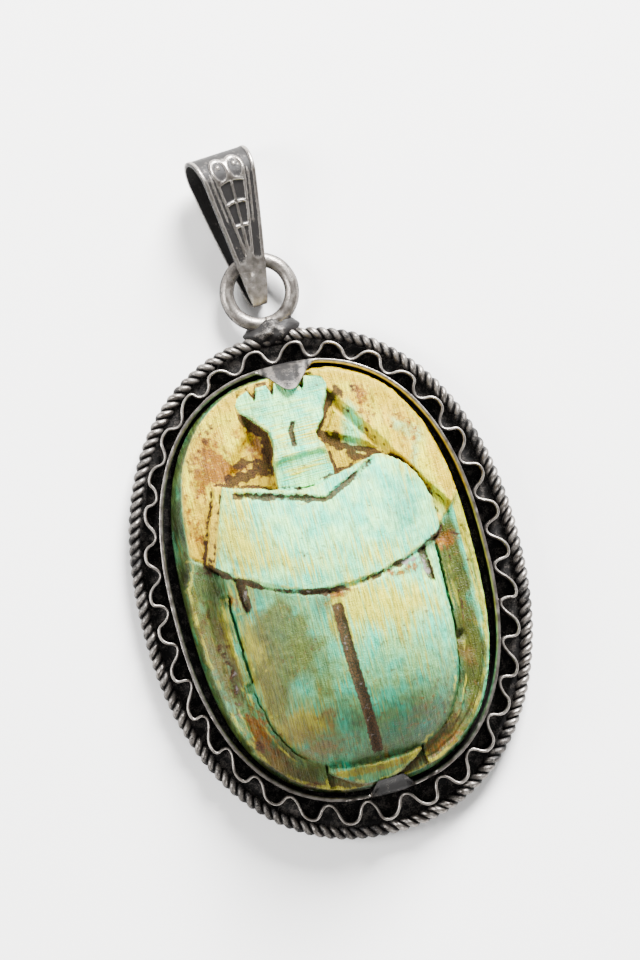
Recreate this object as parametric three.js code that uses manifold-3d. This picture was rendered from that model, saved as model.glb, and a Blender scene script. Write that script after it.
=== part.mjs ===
// A carved scarab held face up in an oval silver pendant mount, lying on its back plate.
// Millimetres. +Z points out of the face and +Y towards the bail.
// The origin is the middle of the back plate's underside.

import * as THREE from 'three';
import { mergeVertices } from 'three/addons/utils/BufferGeometryUtils.js';
import Module from 'manifold-3d';

const wasm = await Module();
wasm.setup();

const { lerp: mix, degToRad } = THREE.MathUtils;
const smooth = (low, high, value) => THREE.MathUtils.smoothstep(value, low, high);

// ---------------------------------------------------------------- driving dimensions

const SEAM = 0.05; // solder seam between two soldered pieces

const PLATE = { halfWidth: 11.6, halfLength: 15.55, power: 2.2, thickness: 0.6, steps: 56 };
const FLOOR = PLATE.thickness + SEAM; // everything in the mount stands on this level

// Two strands of wire twisted together and laid round the edge of the plate.
const ROPE = {
  halfWidth: 11.78, halfLength: 15.73, power: 2.2,
  radius: 0.42, waist: 0.25, halfTurns: 134, stepsPerHalfTurn: 3,
};

// The wall round the scarab, a strip of sheet on edge.
const BEZEL = {
  halfWidth: 9.89, halfLength: 13.66, power: 2.4, centre: [-0.1, 0.19],
  thickness: 0.28, height: 2.45, steps: 54, crowding: 0.028, rimBevel: 0.4,
};

// Two tongues of the same strip that are bent in over the ends of the scarab.
const TOP_CLAW = { middle: 0.35, tipHalfWidth: 0.75, rootHalfWidth: 2.1, reach: 1.05, rise: 1.6 };
const TAIL_CLAW = { middle: 0.35, tipHalfWidth: 0.8, rootHalfWidth: 1.5, reach: 0.75, rise: 0.9 };
const CLAW_ZONE = 0.9 * BEZEL.halfLength; // the tongues stand beyond this far from the middle

// The rim is cut down beside the tongue at the tail end.
const TAIL_SLIT = { floorHalfWidth: 2.2, halfWidth: 3.0, depth: 0.7 };

// A crimped ribbon on edge, running to and fro between the wall and the twisted border.
const RIBBON = {
  waves: 33, stepsPerWave: 8, thickness: 0.18, height: 1.9,
  wallGap: 0.14, ropeGap: 0.1, roundness: 0.7, lean: 0.1,
};

// A round wire ring soldered to the border, in the plane of the pendant.
const RING = { radius: 2.05, wire: 0.45, centre: [0.2, 18.75], steps: 26, sides: 7 };
const RING_FOOT = { halfWidth: 1.35, shift: 0.04, swell: 0.06 };

// A tapered strap folded over into a loop whose two ends meet inside the ring.
const BAIL = {
  length: 9.85, thickness: 0.28, foldRadius: 1.62, tipGap: 0.06, bulge: 0.7,
  topHalfWidth: 1.95, tipHalfWidth: 0.45, flare: 0.85, tip: [0.0, 18.05, 0.65],
  roll: degToRad(15), yaw: degToRad(5), pitch: degToRad(10.5), foldSteps: 8, leafSteps: 9,
};

// The carved stone. Its plan is an oval, and its carving is set a little left of the plate.
// The side profile gives height, size against the plan, and shift to the right.
const SCARAB = {
  halfWidth: 9.15, halfLength: 13.2, power: 2.6, centre: [0.17, 0.2], steps: 56, carvingLeft: 0.25,
  sideProfile: [[FLOOR, 1, 0], [2.6, 1, 0], [3.2, 0.985, 0.05], [3.75, 0.955, 0.12], [4.05, 0.92, 0.15]],
};
const ROOT = 2.0; // carved parts reach down to here, inside the plinth
const SKY = 10.0; // above everything

const SILVER = { color: 0x8d8780, metalness: 1.0, roughness: 0.42 };
const DARK_SILVER = { color: 0x3a3633, metalness: 1.0, roughness: 0.6 };
const GLAZED_STONE = { color: 0x9cc9b4, metalness: 0.0, roughness: 0.45 };

// ---------------------------------------------------------------- shared geometry

// An oval with squarer or rounder shoulders, walked anticlockwise from +X.
class Oval extends THREE.Curve {
  constructor({ halfWidth, halfLength, power, centre = [0, 0] }) {
    super();
    Object.assign(this, { halfWidth, halfLength, power, centre });
    this.arcLengthDivisions = 720;
  }

  getPoint(t, target = new THREE.Vector3()) {
    const across = Math.cos(2 * Math.PI * t);
    const along = Math.sin(2 * Math.PI * t);
    const sum = Math.abs(across / this.halfWidth) ** this.power
      + Math.abs(along / this.halfLength) ** this.power;
    const reach = sum ** (-1 / this.power);
    return target.set(this.centre[0] + reach * across, this.centre[1] + reach * along, 0);
  }

  outwardAt(u) {
    const tangent = this.getTangentAt(u);
    return new THREE.Vector3(tangent.y, -tangent.x, 0).normalize();
  }
}

const TAIL_END = 0.75; // share of the way round an oval where the tail end is

function widened(oval, by) {
  return new Oval({ ...oval, halfWidth: oval.halfWidth + by, halfLength: oval.halfLength + by });
}

function geometryFrom(points, faces) {
  const geometry = new THREE.BufferGeometry();
  const coordinates = points.flatMap((point) => point.toArray());
  geometry.setAttribute('position', new THREE.Float32BufferAttribute(coordinates, 3));
  geometry.setIndex(faces.flat());
  return turnedOutward(geometry);
}

// Reverses every face when the solid is inside out.
function turnedOutward(geometry) {
  const position = geometry.attributes.position;
  const index = geometry.index.array;
  const [a, b, c] = [new THREE.Vector3(), new THREE.Vector3(), new THREE.Vector3()];
  let volume = 0;
  for (let i = 0; i < index.length; i += 3) {
    a.fromBufferAttribute(position, index[i]);
    b.fromBufferAttribute(position, index[i + 1]);
    c.fromBufferAttribute(position, index[i + 2]);
    volume += a.dot(b.cross(c));
  }
  if (volume < 0) index.reverse();
  return geometry;
}

// Skins a row of sections, each a loop of points. A closed row joins its last section to
// its first, and an open one gets a flat cap at each end.
function skin(sections, closed) {
  const sides = sections[0].length;
  const faces = [];
  const last = closed ? sections.length : sections.length - 1;
  for (let i = 0; i < last; i += 1) {
    const here = i * sides;
    const next = ((i + 1) % sections.length) * sides;
    for (let j = 0; j < sides; j += 1) {
      const k = (j + 1) % sides;
      faces.push([here + j, here + k, next + k], [here + j, next + k, next + j]);
    }
  }
  if (!closed) {
    const end = (sections.length - 1) * sides;
    for (let j = 1; j < sides - 1; j += 1) {
      faces.push([0, j + 1, j], [end, end + j, end + j + 1]);
    }
  }
  return geometryFrom(sections.flat(), faces);
}

function piece(name, geometry, look) {
  const mesh = new THREE.Mesh(geometry, new THREE.MeshStandardMaterial(look));
  mesh.name = name;
  return mesh;
}

// ---------------------------------------------------------------- the mount

function backPlate() {
  const corners = new Oval(PLATE).getSpacedPoints(PLATE.steps).slice(0, -1);
  const outline = new THREE.Shape(corners.map(({ x, y }) => new THREE.Vector2(x, y)));
  return new THREE.ExtrudeGeometry(outline, { depth: PLATE.thickness, bevelEnabled: false });
}

// The section is two strands side by side, and turns as it goes round the oval.
function ropeBorder() {
  const path = new Oval(ROPE);
  const count = ROPE.halfTurns * ROPE.stepsPerHalfTurn;
  const sections = [];
  for (let i = 0; i < count; i += 1) {
    const centre = path.getPointAt(i / count);
    centre.z = FLOOR + ROPE.radius;
    const outward = path.outwardAt(i / count);
    const turn = (Math.PI * i) / ROPE.stepsPerHalfTurn;
    sections.push([0, 1, 2, 3].map((corner) => {
      const angle = turn + (corner * Math.PI) / 2;
      const reach = corner % 2 ? ROPE.waist : ROPE.radius;
      return centre.clone()
        .addScaledVector(outward, reach * Math.sin(angle))
        .add(new THREE.Vector3(0, 0, reach * Math.cos(angle)));
    }));
  }
  return skin(sections, true);
}

// How far a tongue has grown at this distance from its middle, from 0 at its root to 1.
function tongue(x, claw) {
  return 1 - smooth(claw.tipHalfWidth, claw.rootHalfWidth, Math.abs(x - claw.middle));
}

// Steps are closer together where the tongues bend in at the two ends of the oval.
function bezelStation(i) {
  const even = i / BEZEL.steps;
  return even + BEZEL.crowding * Math.sin(4 * Math.PI * even);
}

// The cut beside the tail tongue, from 0 to 1.
function slit(x) {
  const away = Math.abs(x - TAIL_CLAW.middle);
  return 1 - smooth(TAIL_SLIT.floorHalfWidth, TAIL_SLIT.halfWidth, away);
}

// The section starts at the foot of the outer side, and ends at the foot of the inner side.
function bezelSection(claw, grown, wallTop) {
  const half = BEZEL.thickness / 2;
  const reach = claw.reach * grown;
  const rise = claw.rise * grown;
  return [
    [half, FLOOR],
    [half, wallTop - BEZEL.rimBevel],
    [half - 0.35 * reach, wallTop + 0.5 * rise],
    [-half / 2 - reach, wallTop + rise + 0.01],
    [-half - 0.35 * reach, wallTop - 0.3 * BEZEL.rimBevel + 0.35 * rise],
    [-half, wallTop - 1.2 * BEZEL.rimBevel],
    [-half, FLOOR],
  ];
}

function bezel() {
  const path = new Oval(BEZEL);
  const sections = [];
  for (let i = 0; i < BEZEL.steps; i += 1) {
    const at = bezelStation(i);
    const point = path.getPointAt(at);
    const outward = path.outwardAt(at);
    const front = point.y > 0;
    const claw = front ? TOP_CLAW : TAIL_CLAW;
    const nearEnd = Math.abs(point.y) > CLAW_ZONE;
    const grown = nearEnd ? tongue(point.x, claw) : 0;
    const cut = nearEnd && !front ? TAIL_SLIT.depth * slit(point.x) * (1 - grown) : 0;
    const section = bezelSection(claw, grown, FLOOR + BEZEL.height - cut);
    sections.push(section.map(([out, up]) => {
      const corner = point.clone().addScaledVector(outward, out);
      corner.z = up;
      return corner;
    }));
  }
  return skin(sections, true);
}

// Round crests near the border and flat troughs on the wall. The sides lean out a little,
// so each crest is a loop that is wider than its mouth.
function waveRibbon() {
  const inner = widened(new Oval(BEZEL), BEZEL.thickness / 2 + RIBBON.wallGap);
  const outer = widened(new Oval(ROPE), -ROPE.radius - RIBBON.ropeGap - RIBBON.thickness / 2);
  const guide = new Oval(ROPE);
  const count = RIBBON.waves * RIBBON.stepsPerWave;
  const path = [];
  for (let i = 0; i < count; i += 1) {
    const phase = (2 * Math.PI * i) / RIBBON.stepsPerWave;
    const swing = Math.cos(phase);
    const crest = 0.5 + 0.5 * Math.sign(swing) * Math.abs(swing) ** RIBBON.roundness;
    const lean = (RIBBON.lean * Math.sin(2 * phase)) / RIBBON.waves;
    const spot = guide.getPointAt((i / count + lean + TAIL_END) % 1);
    const angle = Math.atan2(spot.y, spot.x) / (2 * Math.PI);
    path.push(inner.getPoint(angle).lerp(outer.getPoint(angle), crest));
  }
  return skin(path.map((point, i) => {
    const before = path[(i + count - 1) % count];
    const after = path[(i + 1) % count];
    const along = after.clone().sub(before).normalize();
    const side = new THREE.Vector3(along.y, -along.x, 0).multiplyScalar(RIBBON.thickness / 2);
    const up = new THREE.Vector3(0, 0, RIBBON.height);
    point.z = FLOOR;
    const right = point.clone().add(side);
    const left = point.clone().sub(side);
    return [right, right.clone().add(up), left.clone().add(up), left];
  }), true);
}

// The wire swells at the foot, where solder has run between the ring and the border.
function jumpRing() {
  const sections = [];
  for (let i = 0; i < RING.steps; i += 1) {
    const around = (2 * Math.PI * i) / RING.steps - Math.PI / 2;
    const outward = new THREE.Vector3(Math.cos(around), Math.sin(around), 0);
    const foot = Math.abs(outward.x * RING.radius) < RING_FOOT.halfWidth && outward.y < 0;
    const radius = RING.radius + (foot ? RING_FOOT.shift : 0);
    const reach = RING.wire + (foot ? RING_FOOT.swell : 0);
    sections.push(Array.from({ length: RING.sides }, (_, j) => {
      const turn = (2 * Math.PI * j) / RING.sides;
      const corner = outward.clone().multiplyScalar(radius + reach * Math.cos(turn));
      corner.z = reach * Math.sin(turn);
      return corner.add(new THREE.Vector3(...RING.centre, FLOOR + RING.wire));
    }));
  }
  return skin(sections, true);
}

// Side view of the strap's middle line: along the loop's axis, and across it.
function bailLine() {
  const reach = BAIL.length - BAIL.foldRadius;
  const half = BAIL.thickness / 2;
  const leaf = [];
  for (let i = 0; i < BAIL.leafSteps; i += 1) {
    const t = i / BAIL.leafSteps;
    const opening = half + BAIL.tipGap / 2;
    leaf.push([reach * t, opening + (BAIL.foldRadius - half - opening) * t ** BAIL.bulge]);
  }
  const line = leaf.map(([along, across]) => [along, -across]);
  for (let i = 0; i <= BAIL.foldSteps; i += 1) {
    const angle = Math.PI * (i / BAIL.foldSteps - 0.5);
    const radius = BAIL.foldRadius - half;
    line.push([reach + radius * Math.cos(angle), radius * Math.sin(angle)]);
  }
  return line.concat(leaf.reverse());
}

function bail() {
  const line = bailLine();
  const sections = line.map(([along, across], i) => {
    const before = line[Math.max(i - 1, 0)];
    const after = line[Math.min(i + 1, line.length - 1)];
    const run = new THREE.Vector2(after[0] - before[0], after[1] - before[1]).normalize();
    const t = along / BAIL.length;
    const halfWidth = mix(BAIL.tipHalfWidth, BAIL.topHalfWidth, Math.min(1, t ** BAIL.flare));
    const half = BAIL.thickness / 2;
    const corners = [[-1, -1], [1, -1], [1, 1], [-1, 1]];
    return corners.map(([x, side]) => new THREE.Vector3(
      x * halfWidth,
      along - side * half * run.y,
      across + side * half * run.x,
    ));
  });
  return skin(sections, false);
}

// ---------------------------------------------------------------- the scarab
// In this section u runs across the carving and v along it, towards the head. Heights are
// measured from the ground that the pendant lies on.

function solid(geometry) {
  geometry.deleteAttribute('normal');
  geometry.deleteAttribute('uv');
  const merged = mergeVertices(geometry);
  return new wasm.Manifold(new wasm.Mesh({
    numProp: 3,
    vertProperties: merged.attributes.position.array,
    triVerts: new Uint32Array(merged.index.array),
  }));
}

function geometryOf(manifold) {
  const mesh = manifold.getMesh();
  const geometry = new THREE.BufferGeometry();
  geometry.setAttribute('position', new THREE.BufferAttribute(mesh.vertProperties, 3));
  geometry.setIndex(new THREE.BufferAttribute(mesh.triVerts, 1));
  return geometry;
}

// An upright block with this plan.
function prism(outline, bottom = ROOT, top = SKY) {
  const shape = new THREE.Shape(outline.map(([u, v]) => new THREE.Vector2(u, v)));
  const geometry = new THREE.ExtrudeGeometry(shape, { depth: top - bottom, bevelEnabled: false });
  return solid(geometry.translate(0, 0, bottom));
}

// A block whose top is a smooth curved surface, over a rectangle of the plan.
function swell([u0, u1], [v0, v1], acrossSteps, alongSteps, heightAt) {
  const sections = [];
  for (let row = 0; row <= alongSteps; row += 1) {
    const v = mix(v0, v1, row / alongSteps);
    const top = [];
    for (let column = 0; column <= acrossSteps; column += 1) {
      const u = mix(u0, u1, column / acrossSteps);
      top.push(new THREE.Vector3(u, v, heightAt(u, v)));
    }
    sections.push([new THREE.Vector3(u0, v, ROOT), ...top, new THREE.Vector3(u1, v, ROOT)]);
  }
  return solid(skin(sections, false));
}

// A cut along a line of the surface, open to the sky and narrower at the bottom.
const CUT_BOTTOM = 0.4;

function groove(line, halfWidth, depth, heightAt) {
  const sections = line.map(([u, v], i) => {
    const [u0, v0] = line[Math.max(i - 1, 0)];
    const [u1, v1] = line[Math.min(i + 1, line.length - 1)];
    const side = new THREE.Vector3(v1 - v0, u0 - u1, 0).normalize();
    const surface = heightAt(u, v);
    const corners = [
      [-CUT_BOTTOM, surface - depth], [CUT_BOTTOM, surface - depth],
      [1, surface], [1, SKY], [-1, SKY], [-1, surface],
    ];
    return corners.map(([across, up]) => (
      new THREE.Vector3(u, v, up).addScaledVector(side, across * halfWidth)));
  });
  return solid(skin(sections, false));
}

// Points along a curve v = f(u), or u = f(v) when it is upright.
function curve(from, to, steps, f, upright = false) {
  return Array.from({ length: steps + 1 }, (_, i) => {
    const t = mix(from, to, i / steps);
    return upright ? [f(t), t] : [t, f(t)];
  });
}

// The wing cases: a high oval dome, widest behind the shoulders. Its level lines are U-shaped
// copies of the outline, drawn in towards the middle line and open towards the shield.
const WINGS = {
  middle: 0.2, centre: -1, halfWidth: 6.63, halfLength: 10.35, power: 3, edge: 4.6, rise: 4.2,
  levels: [1, 0.985, 0.95, 0.89, 0.8, 0.66, 0.48, 0.25, 0.04], quarterSteps: 11,
};

// How far out a direction meets the outline, for half sizes of one.
function wingReach(across, along) {
  return (Math.abs(across) ** WINGS.power + Math.abs(along) ** WINGS.power) ** (-1 / WINGS.power);
}

function wingSide(v) {
  const along = Math.min(1, Math.max(0, (WINGS.centre - v) / WINGS.halfLength));
  return WINGS.halfWidth * (1 - along ** WINGS.power) ** (1 / WINGS.power);
}

const wingLevel = (size) => WINGS.edge + WINGS.rise * Math.max(0, 1 - size ** 2.6) ** 0.55;

function wingHeight(u, v) {
  const across = (u - WINGS.middle) / WINGS.halfWidth;
  const along = Math.max(0, (WINGS.centre - v) / WINGS.halfLength);
  return wingLevel(1 / wingReach(across, along));
}

// A level line, anticlockwise from its front right corner; it ends under the shield.
function wingLine(size, height) {
  const corner = (side, reach) => {
    const u = WINGS.middle + side * size * WINGS.halfWidth * reach;
    return new THREE.Vector3(u, shieldRear(u) + 0.4, height);
  };
  const arcSteps = 2 * WINGS.quarterSteps;
  const arc = Array.from({ length: arcSteps + 1 }, (_, i) => {
    const angle = -(Math.PI * i) / arcSteps;
    const across = Math.cos(angle);
    const along = Math.sin(angle);
    const reach = size * wingReach(across, along);
    return new THREE.Vector3(
      WINGS.middle + WINGS.halfWidth * reach * across,
      WINGS.centre + WINGS.halfLength * reach * along,
      height,
    );
  });
  return [corner(1, 1), ...arc, corner(-1, 1), corner(-1, 0.5), corner(-1, 0), corner(1, 0.5)];
}

// The seam between the two wing cases, and a nick in the front of each.
const wingSeam = (v) => mix(0.25, -0.13, smooth(-11, -1, v));
const SEAM_CUT = { front: 0, rear: -11.6, halfWidth: 0.3, depth: 0.45 };
const LEFT_NICK = [[-6.3, 2.2], [-5.1, 1.7], [-5.3, -0.6]];
const RIGHT_NICK = [[5.6, 1.0], [6.5, 1.6], [6.15, -1.7]];
const NICK_FLOOR = 6;

function wings() {
  const rings = WINGS.levels.map((size) => wingLine(size, wingLevel(size)));
  const seam = curve(SEAM_CUT.front, SEAM_CUT.rear, 10, wingSeam, true);
  return solid(skin([wingLine(1, ROOT), ...rings], false))
    .subtract(groove(seam, SEAM_CUT.halfWidth, SEAM_CUT.depth, wingHeight))
    .subtract(prism(LEFT_NICK, NICK_FLOOR))
    .subtract(prism(RIGHT_NICK, NICK_FLOOR));
}

// The shield behind the head, with a lower margin down its left side. A V-shaped cut runs
// across its front, and a crease divides it from the wing cases.
const shieldRear = (u) => -0.38 + (u < 0.45 ? 0.058 : 0.0385) * (u - 0.45) ** 2;
const shieldFront = (u) => 5.95 + (u < -0.1 ? 0.31 : 0.25) * Math.max(0, Math.abs(u + 0.1) - 0.5);
const shieldLeft = (v) => -5.05 - 0.34 * (7.3 - v);
const shieldRight = (v) => 3.3 + 4.05 * Math.max(0, 1 - ((v - 2.6) / 4.6) ** 2) ** 0.4;
const shieldCut = (u) => 5.1 + (u < 0.9 ? 0.305 * (0.9 - u) : 0.47 * (u - 0.9));
const SHIELD_MARGIN = { width: 0.55, drop: 0.5 };
const SHIELD_CORNER = 4.8; // the margin's outer edge starts this far forward
const SHIELD_CUT = { left: -4.7, right: 4.4, halfWidth: 0.2, depth: 0.3 };
const CREASE = { left: -6.3, right: 6.7, behind: 0.14, halfWidth: 0.16, depth: 0.35 };

function shieldHeight(u, v) {
  const across = Math.max(0, 1 - Math.abs((u - 0.3) / 7.4) ** 2.4);
  const along = Math.max(0, 1 - ((v - 0.5) / 9) ** 2);
  return 5.3 + 3.8 * across * along;
}

function shieldOutline() {
  const rear = curve(-6.6, 7.2, 14, shieldRear);
  const right = curve(2.2, 6.9, 7, shieldRight, true);
  const front = curve(4.3, -5, 8, shieldFront);
  return [...rear, ...right, ...front, [shieldLeft(SHIELD_CORNER), SHIELD_CORNER]];
}

function marginOutline() {
  const rear = curve(-7.2, -6, 2, shieldRear);
  const outer = shieldLeft(SHIELD_CORNER) - SHIELD_MARGIN.width;
  return [...rear, [-4.6, 7.1], [-5.35, 7.35], [outer, SHIELD_CORNER]];
}

function shield() {
  const body = swell([-8.5, 8.5], [-1, 8], 16, 8, shieldHeight);
  const cut = curve(SHIELD_CUT.left, SHIELD_CUT.right, 8, shieldCut);
  const raised = prism(shieldOutline())
    .intersect(body)
    .subtract(groove(cut, SHIELD_CUT.halfWidth, SHIELD_CUT.depth, shieldHeight));
  const margin = prism(marginOutline())
    .intersect(body.translate([0, 0, -SHIELD_MARGIN.drop]));
  return raised.add(margin);
}

function crease() {
  const line = curve(CREASE.left, CREASE.right, 14, (u) => shieldRear(u) - CREASE.behind);
  return groove(line, CREASE.halfWidth, CREASE.depth, wingHeight);
}

// The head is a fan with a notched front edge, on a short neck.
const headHalfWidth = (v) => 1.45 + 1.35 * smooth(9.0, 11.7, v);
const HEAD_FRONT = 12.7;
const headTip = (u) => HEAD_FRONT - 0.5 * Math.abs(u / 2.8) ** 5;
const HEAD_NOTCHES = [
  { at: -1.75, halfWidth: 0.28, depth: 0.85 },
  { at: -0.55, halfWidth: 0.22, depth: 0.75 },
  { at: 0.3, halfWidth: 0.2, depth: 0.5 },
  { at: 1.35, halfWidth: 0.26, depth: 0.8 },
];

const headHeight = (u, v) => 6.2 - 0.26 * Math.max(0, v - 8.3) - 0.05 * u * u;
const BROW_MARK = { line: [[0, 10.1], [0, 9.3], [-0.05, 8.6]], halfWidth: 0.22, depth: 0.35 };
const NECK_LINE = { left: -1.6, right: 1.9, halfWidth: 0.12, depth: 0.2 };
const neckLine = (u) => 8.15 - 0.08 * u * u;

function head() {
  const outline = [
    ...curve(5.8, 12, 8, headHalfWidth, true),
    ...curve(2.6, -2.6, 6, headTip),
    ...curve(12, 5.8, 8, (v) => -headHalfWidth(v), true),
  ];
  const mouth = HEAD_FRONT + 0.1;
  const notches = HEAD_NOTCHES.map(({ at, halfWidth, depth }) => (
    prism([[at - halfWidth, mouth], [at, HEAD_FRONT - depth], [at + halfWidth, mouth]])));
  const neck = curve(NECK_LINE.left, NECK_LINE.right, 4, neckLine);
  return notches.reduce((shape, notch) => shape.subtract(notch), prism(outline))
    .intersect(swell([-3.2, 3.2], [5.5, 13], 4, 6, headHeight))
    .subtract(groove(BROW_MARK.line, BROW_MARK.halfWidth, BROW_MARK.depth, headHeight))
    .subtract(groove(neck, NECK_LINE.halfWidth, NECK_LINE.depth, headHeight));
}

// The front legs slope outward from a ridge on each side of the head, in the direction given.
// The hollow on the left is open, and a small cheek plate fills the one on the right.
const FRONT_LEGS = { rimSize: 0.9, rimSteps: 7, ridgeHeight: 4.95, fall: 0.14 };
const LEFT_LEG = {
  ridge: [[-2.75, 11.5], [-4.75, 7.6], [-6.5, 3.9], [-7.5, 3.2]],
  outward: [-0.89, 0.456],
  rim: [0.46, 0.3],
};
const RIGHT_LEG = {
  ridge: [[2.95, 11.3], [5.4, 7.5], [7.4, 3.4], [7.2, 1.6]],
  outward: [0.84, 0.543],
  rim: [0.02, 0.2],
};
const CHEEK = { outline: [[2.75, 10.3], [2.15, 9.05], [4.4, 7.9]], top: 4.8 };

function frontLeg({ ridge, outward, rim }) {
  const [[u0, v0]] = ridge;
  const shoulder = scaledStone(FRONT_LEGS.rimSize);
  const rimLine = Array.from({ length: FRONT_LEGS.rimSteps + 1 }, (_, i) => {
    const point = shoulder.getPoint(mix(...rim, i / FRONT_LEGS.rimSteps));
    return [point.x, point.y];
  });
  const plane = (u, v) => {
    const away = (u - u0) * outward[0] + (v - v0) * outward[1];
    return FRONT_LEGS.ridgeHeight - FRONT_LEGS.fall * away;
  };
  return prism([...ridge, ...rimLine]).intersect(swell([-9, 9], [0, 14], 6, 6, plane));
}

function frontLegs() {
  return frontLeg(LEFT_LEG)
    .add(frontLeg(RIGHT_LEG))
    .add(prism(CHEEK.outline, ROOT, CHEEK.top));
}

// Two straight legs folded along each flank, close to the wing cases.
const FLANK_LEG = { away: 0.4, footHalfWidth: 0.24, topHalfWidth: 0.17 };
const MIDDLE_LEG = { front: 1.1, back: -4.8, top: 5.05 };
const HIND_LEG = { front: -5.4, back: -10.2, top: 4.6 };

function flankLeg(side, { front, back, top }) {
  const middle = (v) => WINGS.middle + side * (wingSide(v) + FLANK_LEG.away);
  const foot = FLANK_LEG.footHalfWidth;
  const crown = FLANK_LEG.topHalfWidth;
  const corners = [[-foot, ROOT], [foot, ROOT], [crown, top], [-crown, top]];
  const sections = curve(front, back, 5, middle, true).map(([u, v]) => (
    corners.map(([across, up]) => new THREE.Vector3(u + across, v, up))));
  return solid(skin(sections, false));
}

function flankLegs() {
  return [-1, 1]
    .flatMap((side) => [flankLeg(side, MIDDLE_LEG), flankLeg(side, HIND_LEG)])
    .reduce((legs, leg) => legs.add(leg));
}

// The plate that shows below the ends of the wing cases.
function tail() {
  const rear = curve(-2.9, 2.9, 8, (u) => -12.6 + 0.155 * u * u);
  const slope = (u, v) => 5.35 + 0.55 * (v + 11.4);
  return prism([...rear, [2.6, -11.25], [-2.6, -11.25]])
    .intersect(swell([-3.5, 3.5], [-13, -10.5], 2, 2, slope));
}

const scaledStone = (scale, shift = 0) => new Oval({
  halfWidth: SCARAB.halfWidth * scale,
  halfLength: SCARAB.halfLength * scale,
  power: SCARAB.power,
  centre: [SCARAB.centre[0] + shift, SCARAB.centre[1]],
});

// The side wall stands upright, then leans in and rounds over onto the plinth.
function plinth() {
  const sections = SCARAB.sideProfile.map(([height, scale, shift]) => {
    const line = scaledStone(scale, shift).getSpacedPoints(SCARAB.steps).slice(0, -1);
    return line.map((point) => point.setZ(height));
  });
  return solid(skin(sections, false));
}

function scarab() {
  const stone = [frontLegs(), flankLegs(), tail(), head(), wings()]
    .reduce((sum, part) => sum.add(part), plinth())
    .subtract(crease())
    .add(shield());
  return geometryOf(stone).translate(-SCARAB.carvingLeft, 0, 0);
}

// ---------------------------------------------------------------- the pendant

const pendant = new THREE.Group();
pendant.add(
  piece('back_plate', backPlate(), DARK_SILVER),
  piece('rope_border', ropeBorder(), SILVER),
  piece('wave_ribbon', waveRibbon(), SILVER),
  piece('bezel', bezel(), SILVER),
  piece('scarab', scarab(), GLAZED_STONE),
  piece('jump_ring', jumpRing(), SILVER),
);

const strap = piece('bail', bail(), SILVER);
strap.position.set(...BAIL.tip);
strap.rotation.set(BAIL.pitch, BAIL.roll, BAIL.yaw, 'ZYX');
pendant.add(strap);

export default pendant;
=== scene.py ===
import math

import bpy
import numpy as np
from mathutils import Matrix, Vector


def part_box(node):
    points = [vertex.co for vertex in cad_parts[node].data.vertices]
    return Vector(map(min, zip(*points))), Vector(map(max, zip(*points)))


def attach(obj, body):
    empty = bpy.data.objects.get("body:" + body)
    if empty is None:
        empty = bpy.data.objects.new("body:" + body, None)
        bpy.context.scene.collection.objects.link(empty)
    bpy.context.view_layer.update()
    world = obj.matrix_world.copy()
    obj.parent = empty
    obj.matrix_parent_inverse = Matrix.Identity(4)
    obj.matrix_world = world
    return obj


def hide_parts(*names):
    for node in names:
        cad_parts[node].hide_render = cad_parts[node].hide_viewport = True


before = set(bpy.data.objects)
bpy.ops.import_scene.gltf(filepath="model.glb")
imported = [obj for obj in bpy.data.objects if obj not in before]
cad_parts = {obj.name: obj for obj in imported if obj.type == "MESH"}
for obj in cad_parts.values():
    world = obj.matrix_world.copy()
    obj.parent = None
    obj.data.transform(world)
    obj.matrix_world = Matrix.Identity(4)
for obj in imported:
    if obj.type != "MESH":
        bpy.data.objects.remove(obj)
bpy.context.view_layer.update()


# ---- camera
# Looks almost straight down on the pendant, which lies on its back plate.
# The camera is turned a little, so that the bail points up and to the left.
mm = 0.001
looked_at = Vector((0.94, 6.4, 1.0)) * mm
seen_from = looked_at + Vector((-0.0524, -0.026, 1.0)) * 300 * mm
picture_up = Vector((0.25, 0.968, 0.0))

eye = bpy.data.cameras.new("camera")
eye.lens = 180
eye.clip_start = 10 * mm
eye.clip_end = 20
camera = bpy.data.objects.new("camera", eye)
bpy.context.scene.collection.objects.link(camera)
back = (seen_from - looked_at).normalized()
right = picture_up.cross(back).normalized()
camera.matrix_world = Matrix.Translation(seen_from) @ Matrix(
    (right, back.cross(right), back)
).transposed().to_4x4()
bpy.context.scene.camera = camera


# ---- floor and light
# A plain pale table top, matt and a little uneven in tone.
# A large soft box stands beyond the bail, and weaker ones on the left and at the foot.
def tint(code):
    """An sRGB hex code as linear red, green, blue and alpha."""
    parts = [int(code[i : i + 2], 16) / 255 for i in (1, 3, 5)]
    return [c / 12.92 if c <= 0.04045 else ((c + 0.055) / 1.055) ** 2.4 for c in parts] + [1.0]


def node(tree, kind, settings):
    """Adds one node. A setting that is another node's output is linked, the rest are values."""
    made = tree.nodes.new(kind)
    for key, value in settings.items():
        if isinstance(value, bpy.types.NodeSocket):
            tree.links.new(value, made.inputs[key])
        elif isinstance(key, str) and hasattr(made, key):
            setattr(made, key, value)
        else:
            made.inputs[key].default_value = value
    return made


def new_material(name):
    material = bpy.data.materials.new(name)
    material.use_nodes = True
    material.node_tree.nodes.clear()
    return material, material.node_tree


table_paint, tree = new_material("matt_white_table")
place = node(tree, "ShaderNodeTexCoord", {}).outputs["Object"]
cloud = node(tree, "ShaderNodeTexNoise", {"Vector": place, "Scale": 25.0, "Detail": 3.0}).outputs[0]
tone = node(tree, "ShaderNodeMix", {
    "data_type": "RGBA", 0: cloud, 6: tint("#f2f1ef"), 7: tint("#fcfbfa"),
}).outputs[2]
paint = node(tree, "ShaderNodeBsdfPrincipled", {"Base Color": tone, "Roughness": 0.8}).outputs[0]
node(tree, "ShaderNodeOutputMaterial", {"Surface": paint})

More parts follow.
